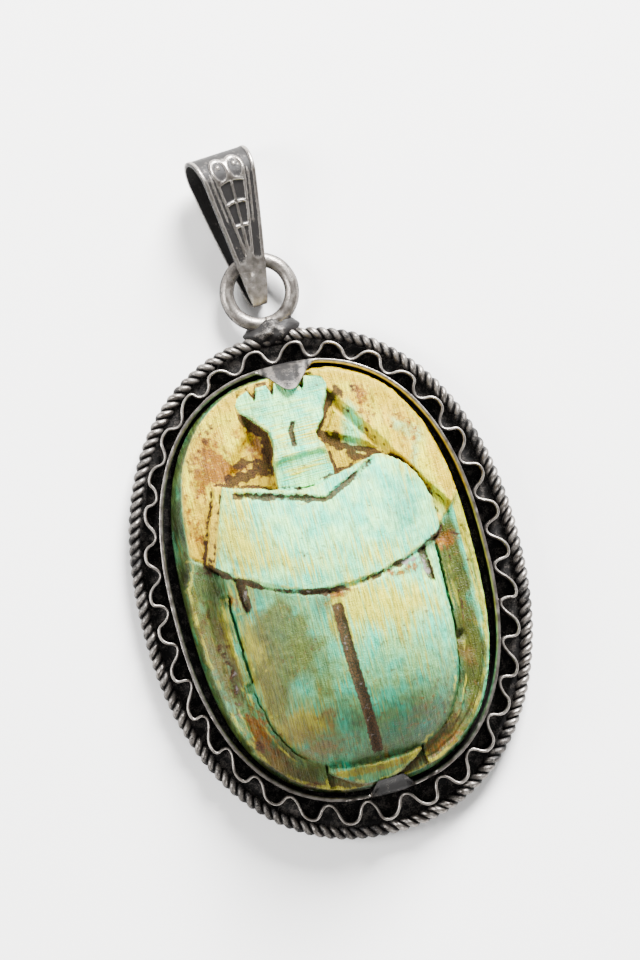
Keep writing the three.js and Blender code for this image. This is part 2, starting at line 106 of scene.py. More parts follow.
half_table = 1.5
corners = [(x * half_table, y * half_table, 0) for x, y in ((-1, -1), (1, -1), (1, 1), (-1, 1))]
table = bpy.data.meshes.new("table_top")
table.from_pydata(corners, [], [(0, 1, 2, 3)])
floor = bpy.data.objects.new("table_top", table)
floor.data.materials.append(table_paint)
bpy.context.scene.collection.objects.link(floor)


def soft_box(name, place_mm, size_mm, power):
    """A square light that faces the pendant."""
    light = bpy.data.lights.new(name, "AREA")
    light.size = size_mm * mm
    light.energy = power
    box = bpy.data.objects.new(name, light)
    box.location = Vector(place_mm) * mm
    box.rotation_euler = (looked_at - box.location).to_track_quat("-Z", "Y").to_euler()
    bpy.context.scene.collection.objects.link(box)


soft_box("window_box", (190, 350, 240), 180, 18.0)
soft_box("side_box", (-340, 90, 260), 160, 3.2)
soft_box("foot_box", (120, -340, 240), 150, 1.0)

room = bpy.data.worlds.new("white_room")
room.use_nodes = True
room.node_tree.nodes["Background"].inputs["Color"].default_value = tint("#ffffff")
room.node_tree.nodes["Background"].inputs["Strength"].default_value = 0.4
bpy.context.scene.world = room


# ---- the scarab
# One piece of steatite, cut with a graver and glazed turquoise, then worn and stained brown.
# Two tongues hold it in the wall of the mount. u runs across the carving, v towards the head.
carving_left = 0.25
stone_middle_u, stone_half_width = 0.17, 9.15
stone_middle_v, stone_half_length = 0.2, 13.2
stone_power = 2.6
wing_middle, wing_half_width = 0.3, 6.57
left_nick_at = -5.4


def ease(low, high, value):
    """0 below low and 1 above high, with a smooth step between."""
    t = np.clip((value - low) / (high - low), 0, 1)
    return t * t * (3 - 2 * t)


def mixed(a, b, share):
    return a + (b - a) * share


def mottle(u, v, spot, seed):
    """Smooth uneven values from -1 to 1, with spots of that size in millimetres."""
    table = np.random.RandomState(seed).uniform(-1, 1, (64, 64))
    a, b = u / spot + 31.7, v / spot + 17.3
    i, j = np.floor(a).astype(int), np.floor(b).astype(int)
    s, t = a - i, b - j
    s, t = s * s * (3 - 2 * s), t * t * (3 - 2 * t)
    near = mixed(table[i % 64, j % 64], table[(i + 1) % 64, j % 64], s)
    far = mixed(table[i % 64, (j + 1) % 64], table[(i + 1) % 64, (j + 1) % 64], s)
    return mixed(near, far, t)


def graver_cut(distance, width):
    """1 in the bottom of a cut and 0 outside it."""
    return 1 - ease(0.35 * width, width, np.abs(distance))


def drawn(v, stations):
    """A line drawn through these stations, each given as v and u."""
    return np.interp(v, [at for at, _ in stations], [out for _, out in stations])


def near_line(u, v, points):
    """Distance to a line drawn through these points."""
    best = np.full(np.shape(u), 99.0)
    for (u0, v0), (u1, v1) in zip(points, points[1:]):
        du, dv = u1 - u0, v1 - v0
        t = np.clip(((u - u0) * du + (v - v0) * dv) / (du * du + dv * dv), 0, 1)
        best = np.minimum(best, np.hypot(u - u0 - t * du, v - v0 - t * dv))
    return best


def shield_rear(u):
    return -0.38 + np.where(u < 0.45, 0.058, 0.0385) * (u - 0.45) ** 2


def shield_cut(u):
    return 4.98 + np.where(u < 0.9, 0.3 * (0.9 - u), 0.48 * (u - 0.9))


def shield_edge(u, v, margin):
    """Distance inside the outline of the shield, which has a lower margin on its left."""
    front = 5.95 + np.where(u < -0.1, 0.31, 0.25) * np.maximum(0, np.abs(u + 0.1) - 0.5)
    left = -5.05 - 0.34 * (7.3 - v)
    right = 3.4 + 4.05 * np.maximum(0, 1 - ((v - 2.6) / 4.6) ** 2) ** 0.45
    edge = np.minimum(v - shield_rear(u), front - v)
    return np.minimum(edge, np.minimum(u - left + margin, right - u))


def wing_seam(v):
    return mixed(0.25, -0.1, ease(-11, -3, v))


def wing_radius(u, v):
    """1 on the outline of the wing cases, which are straight-sided in front and round behind."""
    aside = np.abs((u - wing_middle) / wing_half_width)
    return (aside**3 + np.maximum(0, (-1 - v) / 10.35) ** 3) ** (1 / 3)


def wing_edge(u, v):
    """Distance inside the outline of the wing cases."""
    radius = np.maximum(wing_radius(u, v), 0.05)
    return np.hypot(u - wing_middle, np.minimum(0, v + 1)) * (1 / radius - 1)


def head_edge(u, v):
    """Distance inside the outline of the head, a fan with a notched front on a short neck."""
    left = drawn(v, [
        (6, -1.7), (8, -1.6), (8.7, -1.4), (9.3, -1.32), (9.9, -1.4),
        (10.5, -1.9), (11, -2.3), (11.5, -2.8), (12, -2.95), (12.5, -2.7),
    ])
    right = drawn(v, [
        (6, 1.95), (8.3, 1.8), (8.8, 1.5), (9.2, 1.5), (9.6, 1.8),
        (10, 2.1), (10.6, 2.35), (11.2, 2.65), (12, 2.85), (12.5, 2.65),
    ])
    tip = 12.8 - 0.45 * np.abs(u / 2.85) ** 5
    notches = ((-1.75, 0.26, 0.75), (-0.55, 0.24, 0.7), (0.28, 0.2, 0.6), (1.33, 0.26, 0.72))
    for at, half_width, depth in notches:
        tip = tip - depth * np.maximum(0, 1 - np.abs(u - at) / half_width) ** 0.8
    return np.minimum(np.minimum(np.minimum(u - left, right - u), tip - v), v - 6)


def stone_radius(u, v):
    """1 on the outline of the stone and 0 at its middle."""
    aside = np.abs((u - stone_middle_u) / stone_half_width)
    along = np.abs((v - stone_middle_v) / stone_half_length)
    return (aside**stone_power + along**stone_power) ** (1 / stone_power)


def shoulder_drop(u, v):
    """How far the side has fallen away, from 0 on the carved face to 1 at the outline."""
    left = drawn(v, [
        (-13, 0.985), (-9, 0.965), (-5, 0.955), (1.8, 0.96), (2.9, 0.9), (4.3, 0.895),
        (6, 0.912), (7.5, 0.932), (9, 0.952), (11, 0.966), (13, 0.985),
    ])
    start = mixed(left, 0.975, ease(-3, 3, u))
    return np.clip((stone_radius(u, v) - start) / (1 - start), 0, 1)


def leg_end(u):
    """Where the front legs end, behind the shield's rear corners."""
    return np.where(u < 0, 2.9 - 0.9 * (u + 7.2), 1.7 + 1.1 * (u - 7.5))


def tail_edge(u, v):
    """Distance inside the crescent that the wing cases leave open at the tail."""
    return np.minimum(v + 12.7 - 0.15 * u * u, 3 - np.abs(u))


def off_brow_mark(u, v):
    """Distance sideways from the mark cut in the brow."""
    return u + 0.05 - 0.25 * ease(9.6, 10.2, v)


def off_right_nick(u, v):
    """Distance sideways from the slanting nick at the right shoulder."""
    return u - 5.95 + 0.12 * v


def carving(u, v):
    """Height of the carved face above the ground, in millimetres."""
    # The wing cases, with the seam between them and a nick at each shoulder.
    seam = graver_cut(u - wing_seam(v), mixed(0.22, 0.36, ease(-10.8, -9, v)))
    seam = seam * ease(-11.2, -10.8, v)
    left_nick = graver_cut(u - left_nick_at, mixed(0.15, 0.42, ease(-0.9, 1.6, v)))
    left_nick = left_nick * ease(-0.9, -0.4, v)
    right_nick = graver_cut(off_right_nick(u, v), mixed(0.15, 0.38, ease(-1.9, 0.4, v)))
    right_nick = right_nick * ease(-1.8, -1.3, v)
    behind = shield_rear(u) - v
    wings = 4.8 + 4.0 * np.maximum(0, 1 - wing_radius(u, v) ** 2.6) ** 0.75
    wings = wings - 0.2 * seam - 0.35 * np.maximum(left_nick, right_nick)

    # The shield, domed both ways, with a line cut along its front.
    dome = 3.75 * np.maximum(0, 1 - np.abs((u - 0.3) / 7.4) ** 2.4)
    shield = 5.2 + dome * np.maximum(0, 1 - ((v - 0.5) / 9) ** 2)
    front_line = 0.22 * graver_cut(v - shield_cut(u), 0.26)
    shield = shield - front_line * ease(-4.7, -4.3, u) * (1 - ease(4.3, 4.6, u))

    # The head, with a mark on its brow and a band across its neck.
    mark = graver_cut(off_brow_mark(u, v), 0.2)
    mark = mark * ease(8.6, 8.9, v) * (1 - ease(10.0, 10.25, v))
    band = v - 8.3 + 0.07 * (u - 0.15) ** 2
    head = 6.2 - 0.26 * np.maximum(0, v - 8.3) - 0.04 * u * u - 0.2 * mark
    head = head + 0.12 * graver_cut(band, 0.3) - 0.12 * ease(0.1, 0.5, -band)

    # The flanks, with the middle and hind legs as low bars beside the wing cases.
    outside = -wing_edge(u, v)
    leg = ease(0.04, 0.14, outside) * (1 - ease(0.5, 0.72, outside))
    middle_leg = ease(-4.95, -4.7, v) * (1 - ease(0.6, 1.0, v))
    hind_leg = 0.55 * (1 - ease(-5.6, -5.2, v)) * ease(-11, -10, v)
    leg = leg * np.maximum(middle_leg, hind_leg)
    recess = ease(0.75, 0.9, outside) * (1 - ease(1.35, 1.6, outside))
    recess = recess * ease(-9.5, -8, v) * (1 - ease(0, 1.5, v)) * (u < 0)
    rim_line = graver_cut(stone_radius(u, v) - 0.945, 0.012) * (u > 0) * (v < 1.5)
    flank = 4.35 + 0.6 * leg + 0.35 * (1 - ease(-0.1, 0.3, outside)) - 0.25 * recess
    flank = flank - 0.1 * rim_line - 0.08 * np.maximum(0, outside - 1)

    # The front legs fall away from a ridge, with hollows between them and the head.
    ridge = [(-4.8, 7), (-4.6, 8.1), (-4.1, 9), (-3.35, 10), (-2.8, 11.6)]
    left_side = np.sign(drawn(v, [(at_v, at_u) for at_u, at_v in ridge]) - u)
    left_slope = near_line(u, v, ridge[::-1]) * left_side
    slope = np.where(u < 0, left_slope, (u - 3.2) * 0.84 + (v - 11.3) * 0.543)
    cheek = np.minimum((4.95 - u) * 0.84 - (v - 7.5) * 0.56, (v - 9.0) * 0.86 + (u - 2.2) * 0.5)
    cheek = 0.3 * ease(-0.05, 0.2, np.minimum(cheek, u - 2.1 - 0.6 * (v - 9.1))) * (u > 0)
    inner = np.where(u < 0, 4.45 + 0.15 * mottle(u, v, 0.9, 8), 4.45 + cheek)
    foreleg = 4.95 - 0.14 * np.maximum(0, slope) + 0.05 * mottle(u, v, 1.1, 9)
    foreleg = mixed(inner, foreleg, ease(mixed(-0.8, -0.3, u > 0), 0, slope))

    tail = 5.25 - 0.5 * np.maximum(0, -11.55 - v)
    tail = mixed(4.0, tail, ease(-0.03, 0.12, tail_edge(u, v)))

    # Each part is laid over the ones before it.
    face = mixed(flank, foreleg, ease(-0.15, 0.15, v - leg_end(u)))
    face = face - 0.15 * graver_cut(v - leg_end(u), 0.22) * (np.abs(u) > 6.5) * (np.abs(u) < 8.3)
    face = np.where((v < -10.8) & (np.abs(u) < 3.1), tail, face)
    face = mixed(face, 2.6, shoulder_drop(u, v) ** 0.85)
    face = mixed(face, head, ease(-0.08, 0.08, head_edge(u, v)))
    face = mixed(face, wings, ease(-0.12, 0.12, np.minimum(wing_edge(u, v), behind + 0.6)))
    face = mixed(face, shield - 0.45, ease(-0.08, 0.08, shield_edge(u, v, 0.55)))
    face = mixed(face, shield, ease(-0.08, 0.08, shield_edge(u, v, 0)))
    return face - 0.14 * graver_cut(0.1 - behind, 0.22) * ease(-0.3, 0.3, wing_edge(u, v))


def worn_carving(u, v):
    """The carving with the wander of the graver and the softening of wear."""
    a = u + 0.06 * mottle(u, v, 0.6, 1) + 0.04 * mottle(u, v, 0.22, 2)
    b = v + 0.06 * mottle(u, v, 0.6, 3) + 0.04 * mottle(u, v, 0.22, 4)
    return carving(a, b) + 0.03 * mottle(u, v, 1.3, 5) + 0.015 * mottle(u, v, 0.3, 6)


# A square grid drawn out to the oval of the stone, fine enough for a 0.2 mm cut.
cells = 290
side = np.linspace(-1, 1, cells + 1)
across, along = np.meshgrid(side, side)
x = across * np.sqrt(1 - along**2 / 2)
y = along * np.sqrt(1 - across**2 / 2)
outline = (np.abs(x) ** stone_power + np.abs(y) ** stone_power) ** (1 / stone_power)
stretch = np.hypot(x, y) / np.maximum(outline, 1e-9)
u = stone_middle_u + stone_half_width * stretch * x
v = stone_middle_v + stone_half_length * stretch * y
height = worn_carving(u, v)

# How far each point lies below the face around it, close by and further off.
ring_of = [(np.cos(t), np.sin(t)) for t in np.linspace(0, 2 * np.pi, 8, endpoint=False)]
hollow_small = sum(worn_carving(u + 0.25 * c, v + 0.25 * s) for c, s in ring_of) / 8 - height
hollow_wide = sum(worn_carving(u + 0.8 * c, v + 0.8 * s) for c, s in ring_of) / 8 - height

# Where each colour lies, from 0 to 1 at every point.
on_head = ease(-0.05, 0.05, head_edge(u, v))
on_shield = ease(-0.05, 0.05, shield_edge(u, v, 0))
on_wings = ease(-0.05, 0.05, np.minimum(wing_edge(u, v), shield_rear(u) - v)) * (1 - on_shield)
on_rest = np.clip(1 - on_head - on_shield - on_wings, 0, 1)
on_left = 1 - ease(-1, 1, u)
on_wall = on_rest * ease(0.0, 0.25, shoulder_drop(u, v))
on_legs = on_rest * ease(-0.25, 0.25, v - leg_end(u)) * (1 - on_wall * on_left)
on_flank = np.clip(on_rest - on_legs - on_wall, 0, 1)
on_tail = on_flank * (np.abs(u) < 3.2) * ease(0, 0.15, tail_edge(u, v)) * (v < -11)
tail_top = on_tail * (1 - ease(0.12, 0.35, np.abs(v + 11.75 - 0.02 * u * u)))


def patches(spots):
    """Soft patches, each given as middle, half width, half length and strength."""
    total = np.zeros(u.shape)
    wander_u = u + 0.5 * mottle(u, v, 1.6, 11) + 0.2 * mottle(u, v, 0.5, 12)
    wander_v = v + 0.7 * mottle(u, v, 1.9, 13) + 0.3 * mottle(u, v, 0.6, 14)
    for at_u, at_v, wide, tall, strength in spots:
        reach = ((wander_u - at_u) / wide) ** 2 + ((wander_v - at_v) / tall) ** 2
        total = total + strength * np.exp(-1.2 * reach)
    return np.clip(total, 0, 1)


marks = {}
# The mark "shade" is painted shade: it darkens the wing cases on the left and towards the tail, the
# flanks, and the wall, the left wall most.
right_wing = mixed(mixed(0.22, 0.55, ease(-1, -6, v)), 0.88, ease(-5, -9.5, v))
wing_shade = mixed(mixed(0.62, 0.8, ease(-4, -9.5, v)), right_wing, ease(-0.6, 0.8, u))
left_flank = mixed(0.6, 0.85, ease(-6, -9.5, v))
flank_shade = mixed(left_flank, 0.8 - 0.4 * ease(8.2, 8.6, u), ease(-1, 1, u))
marks["shade"] = (
    on_wings * wing_shade + on_flank * flank_shade + on_wall * mixed(0.1, 0.38, on_left)
    - 0.15 * on_tail
)
marks["aqua"] = (1 - on_legs) * patches([
    (5.4, 3.4, 1.3, 2.4, 1.0), (1.9, 11.9, 1.3, 0.9, 1.0), (-1.8, 12.0, 0.7, 0.5, 0.6),
    (2.6, 5.9, 2.0, 0.4, 0.9), (5.6, -4.4, 0.9, 1.8, 0.5), (2.6, -8.4, 2.0, 1.2, 0.3),
    (-1.0, -1.4, 0.9, 1.3, 0.9), (-1.0, -8.6, 1.0, 1.8, 0.7), (-3.4, 2.6, 1.2, 1.2, 0.5),
    (6.7, -7.6, 0.6, 1.6, 0.9), (8.0, 0.4, 0.6, 0.8, 0.9), (7.7, -3.0, 0.5, 1.5, 0.5),
    (-5.0, -2.9, 0.8, 0.9, 0.8), (-3.0, -5.6, 1.2, 0.9, 0.6), (-8.0, -6.0, 0.4, 1.6, 0.9),
])

straw = (on_head + on_shield + on_wings) * patches([
    (-4.9, 4.6, 1.5, 3.0, 1.0), (-3.2, 2.0, 1.6, 1.8, 0.6), (-0.8, 1.6, 2.2, 1.0, 0.5),
    (3.4, 1.0, 1.6, 1.2, 0.7), (-5.3, -2.5, 1.0, 3.0, 0.7), (-5.2, -5.5, 1.0, 3.5, 0.7),
    (-3.4, -8.2, 1.6, 1.2, 0.9), (1.0, -1.6, 1.2, 1.6, 0.9), (3.6, -2.4, 2.6, 1.9, 0.9),
    (4.6, -7.0, 1.4, 1.4, 0.2), (-4.2, -7.6, 0.9, 0.9, 0.7), (0.8, 9.5, 1.0, 0.8, 0.8),
    (0.2, 7.5, 1.4, 0.4, 0.9), (6.4, 5.6, 0.5, 1.5, 0.7), (4.2, -4.8, 1.2, 1.6, 0.25),
    (-0.7, 9.3, 0.5, 1.0, 0.6), (-0.2, -1.0, 0.4, 0.5, 1.0), (-0.2, -4, 0.5, 4, 0.5),
    (0.5, -11.2, 0.3, 0.4, 1.0),
])
straw = straw + tail_top + on_wall * (1 - on_left) * ease(-10, 2, v)
straw = straw + on_flank * (u > 0) * ease(8.5, 8.8, u)
straw = straw + on_flank * patches([
    (8.9, 0.5, 0.4, 3.5, 1.0), (-8.3, -0.5, 0.5, 3.0, 0.9), (-6.7, -2.0, 0.4, 3.4, 1.0),
    (8.3, -6.4, 0.4, 2.4, 0.8), (-6.0, -9.2, 0.5, 1.8, 0.7),
])
marks["straw"] = np.clip(straw, 0, 1)

marks["gold"] = on_legs * (1 - patches([
    (3.7, 9.0, 0.9, 1.1, 0.85), (7.8, 3.2, 0.4, 1.3, 0.8), (7.3, 6.4, 0.6, 2.0, 0.55),
    (6.6, 8.6, 0.5, 1.2, 0.4),
]))
marks["cream"] = on_legs * patches([
    (5.6, 9.2, 0.7, 2.2, 0.8), (3.9, 11.4, 1.0, 0.8, 0.8), (-4.2, 11.4, 1.1, 0.9, 0.8),
    (-7.1, 7.6, 0.35, 2.4, 0.9), (-6.0, 8.2, 0.5, 1.0, 0.7), (-5.2, 10.6, 0.5, 0.7, 0.7),
    (7.6, 5.6, 0.7, 2.2, 1.0), (-5.6, 6.2, 0.5, 1.8, 0.7), (-3.6, 9.7, 0.3, 1.2, 0.9),
    (-4.3, 8.8, 0.3, 0.7, 0.9), (7.9, 3.2, 0.4, 1.0, 1.0),
])
ochre = on_legs * (0.08 + patches([
    (-5.4, 9.2, 1.3, 2.0, 0.8), (-7.3, 5.0, 0.7, 1.8, 0.8), (-5.0, 8.2, 0.7, 0.8, 0.7),
    (-2.2, 9.3, 1.0, 1.8, 0.9), (5.0, 10.6, 0.8, 1.4, 0.8), (7.2, 3.6, 0.25, 1.0, 0.6),
    (7.0, 8.0, 0.7, 1.6, 0.5), (-4.2, 7.7, 1.4, 0.4, 0.7), (-6.2, 7.4, 0.6, 1.0, 0.5),
]))
ochre = ochre + on_flank * patches([
    (-6.3, -7.6, 0.9, 2.0, 0.9), (0.0, -11.6, 3.0, 0.3, 0.4), (7.4, 1.0, 0.5, 0.9, 1.0),
    (4.6, -11.4, 1.8, 0.8, 0.6),
])
ochre = ochre + on_wings * patches([
    (-0.1, -0.8, 0.9, 0.4, 1.0), (-5.9, 0.7, 0.4, 0.9, 0.8), (4.2, -0.4, 2.6, 0.25, 0.9),
])
marks["ochre"] = np.clip(ochre, 0, 1)

olive = 0.9 * on_wall * on_left + 0.5 * on_flank * (1 - ease(8.2, 8.6, u))
olive = olive + on_wings * patches([
    (-3.3, -1.6, 1.0, 0.9, 1.0), (-2.4, -3.4, 1.0, 1.1, 1.0), (-4.4, -4.8, 1.5, 1.1, 1.0),
    (-4.6, -1.6, 1.0, 1.5, 0.6), (-5.0, -6.2, 0.8, 1.2, 0.7), (-1.6, -5.6, 1.0, 1.8, 0.7),
    (-3.6, -3.0, 1.4, 1.6, 0.9), (2.4, -7.4, 1.2, 0.9, 0.5),
])
marks["olive"] = olive + on_flank * patches([
    (7.6, -1.0, 0.4, 3.5, 1.0), (7.4, -6.0, 0.6, 2.5, 0.9), (-8.6, 0.5, 0.5, 2.0, 0.6),
    (-7.4, 1.2, 0.6, 1.2, 0.9), (-7.0, -9.4, 1.0, 1.6, 0.8), (7.2, -8.6, 0.8, 1.6, 0.6),
    (-5.4, -10.8, 1.6, 0.8, 0.9), (4.6, -11.0, 1.6, 0.8, 0.8),
])

tan = on_wings * patches([
    (-5.4, -7.4, 0.5, 1.4, 0.5), (-3.0, -9.8, 2.0, 1.0, 0.8), (3.4, -9.4, 2.2, 1.0, 0.5),
    (-2.4, -8.6, 0.8, 0.6, 0.4), (-5.6, -3.4, 0.4, 3.0, 0.5), (-2.2, -7.8, 0.7, 0.4, 0.8),
    (3.4, -4.0, 0.5, 0.8, 0.5),
])
tan = tan + on_flank * patches([
    (-8.2, -3.6, 0.5, 4.2, 0.8), (-7.3, -3.2, 0.7, 4.4, 1.0), (-5.6, -9.8, 1.6, 1.6, 0.9),
    (5.4, -10.4, 1.8, 1.4, 0.7), (7.2, -6.4, 0.5, 1.2, 0.8), (7.6, -9.4, 0.8, 1.2, 0.5),
])
tan = tan + on_flank * (1 - on_tail) * ease(11, 12.3, -v) * 0.8
marks["tan"] = np.clip(tan, 0, 1)

# Edges that stand above their surroundings turn cream: partly glaze rubbed off, partly a painted
# highlight.
edge_wear_and_highlight = np.clip(0.45 + 0.7 * mottle(u, v, 0.7, 64), 0.1, 1)
marks["bare_and_highlight"] = ease(0.02, 0.11, -hollow_small) * edge_wear_and_highlight
# Painted shade and grime: the left wall, the wall and wing cases towards the tail, and the flanks
# are darkened as painted shade, and a mottle of grime lies on the legs, flanks and walls.
grime_and_shade = on_wall * on_left * 0.65 + on_wall * ease(9.0, 11.5, -v) + on_flank * 0.4
grime_and_shade = grime_and_shade + on_wings * 0.4 * ease(8.5, 11.5, -v) + 0.2 * mottle(u, v, 0.9, 61) * on_rest
marks["grime_and_shade"] = np.clip(grime_and_shade, 0, 1)

# Soil lies in the hollows and the cut lines, and in patches on the legs and flanks.
patchy = np.clip(0.62 + 0.5 * mottle(u, v, 0.8, 62) + 0.3 * mottle(u, v, 0.3, 63), 0.1, 1)
cut_width = 0.34 + 0.12 * mottle(u, v, 0.3, 65)
cut_line = graver_cut(v - shield_cut(u) + 0.06 * mottle(u, v, 0.3, 67), cut_width) * on_shield
cut_line = cut_line * ease(-4.8, -4.4, u) * (1 - ease(4.1, 4.4, u))
brow_mark = graver_cut(off_brow_mark(u, v), 0.28)
brow_mark = brow_mark * ease(8.55, 8.75, v) * (1 - ease(10.1, 10.35, v))
crease = graver_cut(shield_rear(u) - 0.12 - v, mixed(0.1, 0.42, patchy)) * (np.abs(u) < 7.3)
seam_soil = 1.15 * on_wings * graver_cut(u - wing_seam(v), 0.52)
seam_soil = seam_soil * ease(-11.0, -10.6, v) * (1 - ease(-1.6, -1.1, v))
left_nick_soil = on_wings * 0.85 * graver_cut(u - left_nick_at, 0.5) * ease(-0.9, -0.1, v)
right_nick_soil = on_wings * 0.85 * graver_cut(off_right_nick(u, v), 0.45) * ease(-1.8, -1.0, v)
head_lines = np.minimum(
    near_line(u, v, [
        (-2.8, 11.2), (-2.1, 10.5), (-1.6, 9.8), (-1.6, 8.8),
        (-2.0, 8.0), (-3.0, 7.7), (-4.4, 7.65),
    ]) / 0.5,
    near_line(u, v, [
        (2.9, 11.2), (2.2, 10.2), (1.65, 9.3), (2.2, 8.5), (3.4, 7.75), (4.9, 7.1),
    ]) / 0.34,
)
soil = 0.85 * ease(0.03, 0.2, hollow_small) * patchy * mixed(0.65, 1, on_legs)
soil = soil + 0.2 * ease(0.1, 0.4, hollow_wide)
soil = soil * (1 - 0.7 * on_wall)
soil = soil * (1 - 0.95 * graver_cut(wing_edge(u, v), 0.7) * (v < shield_rear(u) - 0.4))
for more_soil in (
    0.95 * cut_line * np.clip(patchy + 0.3, 0, 1),
    0.9 * brow_mark * on_head,
    crease * np.clip(patchy + 0.2, 0, 1),
    seam_soil,
    left_nick_soil,
    right_nick_soil,
    on_rest * (1 - ease(0.3, 1.0, head_lines + 0.35 * mottle(u, v, 0.35, 66))),
    on_rest * patches([
        (-1.8, 9.6, 0.5, 1.2, 0.75), (-2.3, 7.95, 1.2, 0.35, 0.9), (-3.7, 7.9, 0.8, 0.35, 0.9),
        (2.15, 9.1, 0.5, 0.8, 1.0), (2.7, 8.4, 0.5, 0.35, 1.0), (3.7, 7.8, 0.7, 0.3, 1.0),
        (4.6, 7.4, 0.5, 0.25, 0.9), (3.1, 10.9, 0.3, 0.7, 0.9), (-5.6, 9.6, 1.1, 1.2, 0.5),
        (-7.0, 3.2, 0.5, 0.7, 0.8), (7.9, 1.5, 0.4, 0.25, 0.8), (-6.9, 4.8, 0.25, 1.0, 0.85),
        (-7.5, -3.8, 0.45, 3.4, 0.7), (-6.5, -9.0, 0.5, 1.4, 0.6), (-4.2, -11.6, 1.2, 0.4, 0.6),
        (8.3, -2.0, 0.15, 3.0, 0.5), (-6.6, -8.2, 0.4, 0.5, 0.9), (5.0, 10.8, 0.7, 1.0, 0.4),
        (-2.8, 11.2, 0.3, 0.7, 0.7), (6.9, 9.0, 0.4, 1.4, 0.42), (3.5, 8.9, 1.1, 1.1, 0.4),
        (-6.6, 8.6, 0.5, 1.2, 0.5), (-4.6, 10.6, 0.6, 0.6, 0.5), (4.2, 11.2, 0.8, 0.8, 0.45),
        (-6.0, 6.4, 0.4, 1.2, 0.45), (-8.0, 2.6, 0.4, 0.5, 0.6), (-7.6, 0.4, 0.4, 0.9, 0.45),
    ]),
    0.7 * (on_rest * ease(11.8, 12.1, v) * (np.abs(u) < 2.1) * (head_edge(u, v) > -0.3)),
):
    soil = np.maximum(soil, more_soil)

# Paler crumbs of earth lie on the soil, and a thin speckle of it is everywhere.
crumbs = on_wings * patches([
    (-2.4, 0.1, 1.2, 0.3, 0.9), (5.0, 0.1, 1.2, 0.3, 0.9), (6.1, -0.6, 0.3, 0.8, 0.9),
    (-5.2, 0.4, 0.3, 0.6, 0.7),
])
crumbs = crumbs + on_wings * 0.3 * graver_cut(u - wing_seam(v), 0.4)
crumbs = crumbs + on_rest * patches([
    (-7.3, -4.4, 0.3, 2.4, 0.6),
])
marks["crumbs"] = np.clip(crumbs, 0, 1)
speckle = 0.22 + 0.12 * mottle(u, v, 1.5, 68)
marks["soil"] = np.clip(np.max([soil, 0.85 * marks["crumbs"], speckle], 0), 0, 1.1)
marks["head"] = on_head


def quads(index):
    """Four-sided faces between neighbours in a grid of point numbers."""
    corners = [index[:-1, :-1], index[:-1, 1:], index[1:, 1:], index[1:, :-1]]
    return np.stack(corners, -1).reshape(-1, 4).tolist()


def lay_mesh(name, points, round_rows=False, round_columns=False, caps=False, crease=50):
    """An object from rows of points in millimetres, joined by four-sided faces."""
    rows, columns = points.shape[:2]
    index = np.arange(rows * columns).reshape(rows, columns)
    first, last = index[0].tolist(), index[-1].tolist()
    index = np.vstack([index, index[:1]]) if round_rows else index
    index = np.hstack([index, index[:, :1]]) if round_columns else index
    faces = quads(index) + ([first[::-1], last] if caps else [])
    return smooth_object(name, points.reshape(-1, 3), faces, crease)


def smooth_object(name, points_mm, faces, crease):
    mesh = bpy.data.meshes.new(name)
    mesh.from_pydata((points_mm * mm).tolist(), [], faces)
    mesh.shade_smooth()
    mesh.set_sharp_from_angle(angle=math.radians(crease))
    made = bpy.data.objects.new(name, mesh)
    bpy.context.scene.collection.objects.link(made)
    return made


def keep_mark(thing, name, values):
    """Stores one value from 0 to 1 at every point, for the material to read."""
    mark = thing.data.attributes.new(name, "FLOAT", "POINT")
    mark.data.foreach_set("value", np.asarray(values, np.float32).ravel())


def round_the_rim(grid):
    """The outer edge of a square grid, walked once round."""
    return np.concatenate([grid[0, :-1], grid[:-1, -1], grid[-1, :0:-1], grid[:0:-1, 0]])


# The carved face, then its side in seven steps down to the flat underside.
face_points = np.stack([u - carving_left, v, height], -1)
rim = round_the_rim(face_points)
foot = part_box("scarab")[0].z / mm
drops = np.linspace(0, 1, 8)[1:]
side_points = np.stack([
    np.stack([rim[:, 0], rim[:, 1], mixed(rim[:, 2], foot, drop)], -1) for drop in drops
])
rough_side = 0.03 * mottle(side_points[..., 1], side_points[..., 2], 0.6, 21)
side_points[..., 0] += rough_side * (side_points[..., 2] > foot + 0.1)

grid = np.arange((cells + 1) ** 2).reshape(cells + 1, cells + 1)
faces = quads(grid)
loop = round_the_rim(grid)
for step in range(len(drops)):
    lower = grid.size + step * len(loop) + np.arange(len(loop))
    faces += np.stack([loop, lower, np.roll(lower, -1), np.roll(loop, -1)], -1).tolist()
    loop = lower
faces.append(loop[::-1].tolist())
stone_points = np.concatenate([face_points.reshape(-1, 3), side_points.reshape(-1, 3)])
stone = smooth_object("carved_scarab", stone_points, faces, 60)
# The sides of the stone, down inside the wall, are darkened in full as painted shade, with some
# soil and olive.
on_the_side = {"shade": 1.0, "grime_and_shade": 1.0, "soil": 0.3, "olive": 0.2}
for name, values in marks.items():
    side_values = np.full(side_points[..., 0].size, on_the_side.get(name, 0.0))
    keep_mark(stone, name, np.concatenate([values.ravel(), side_values]))

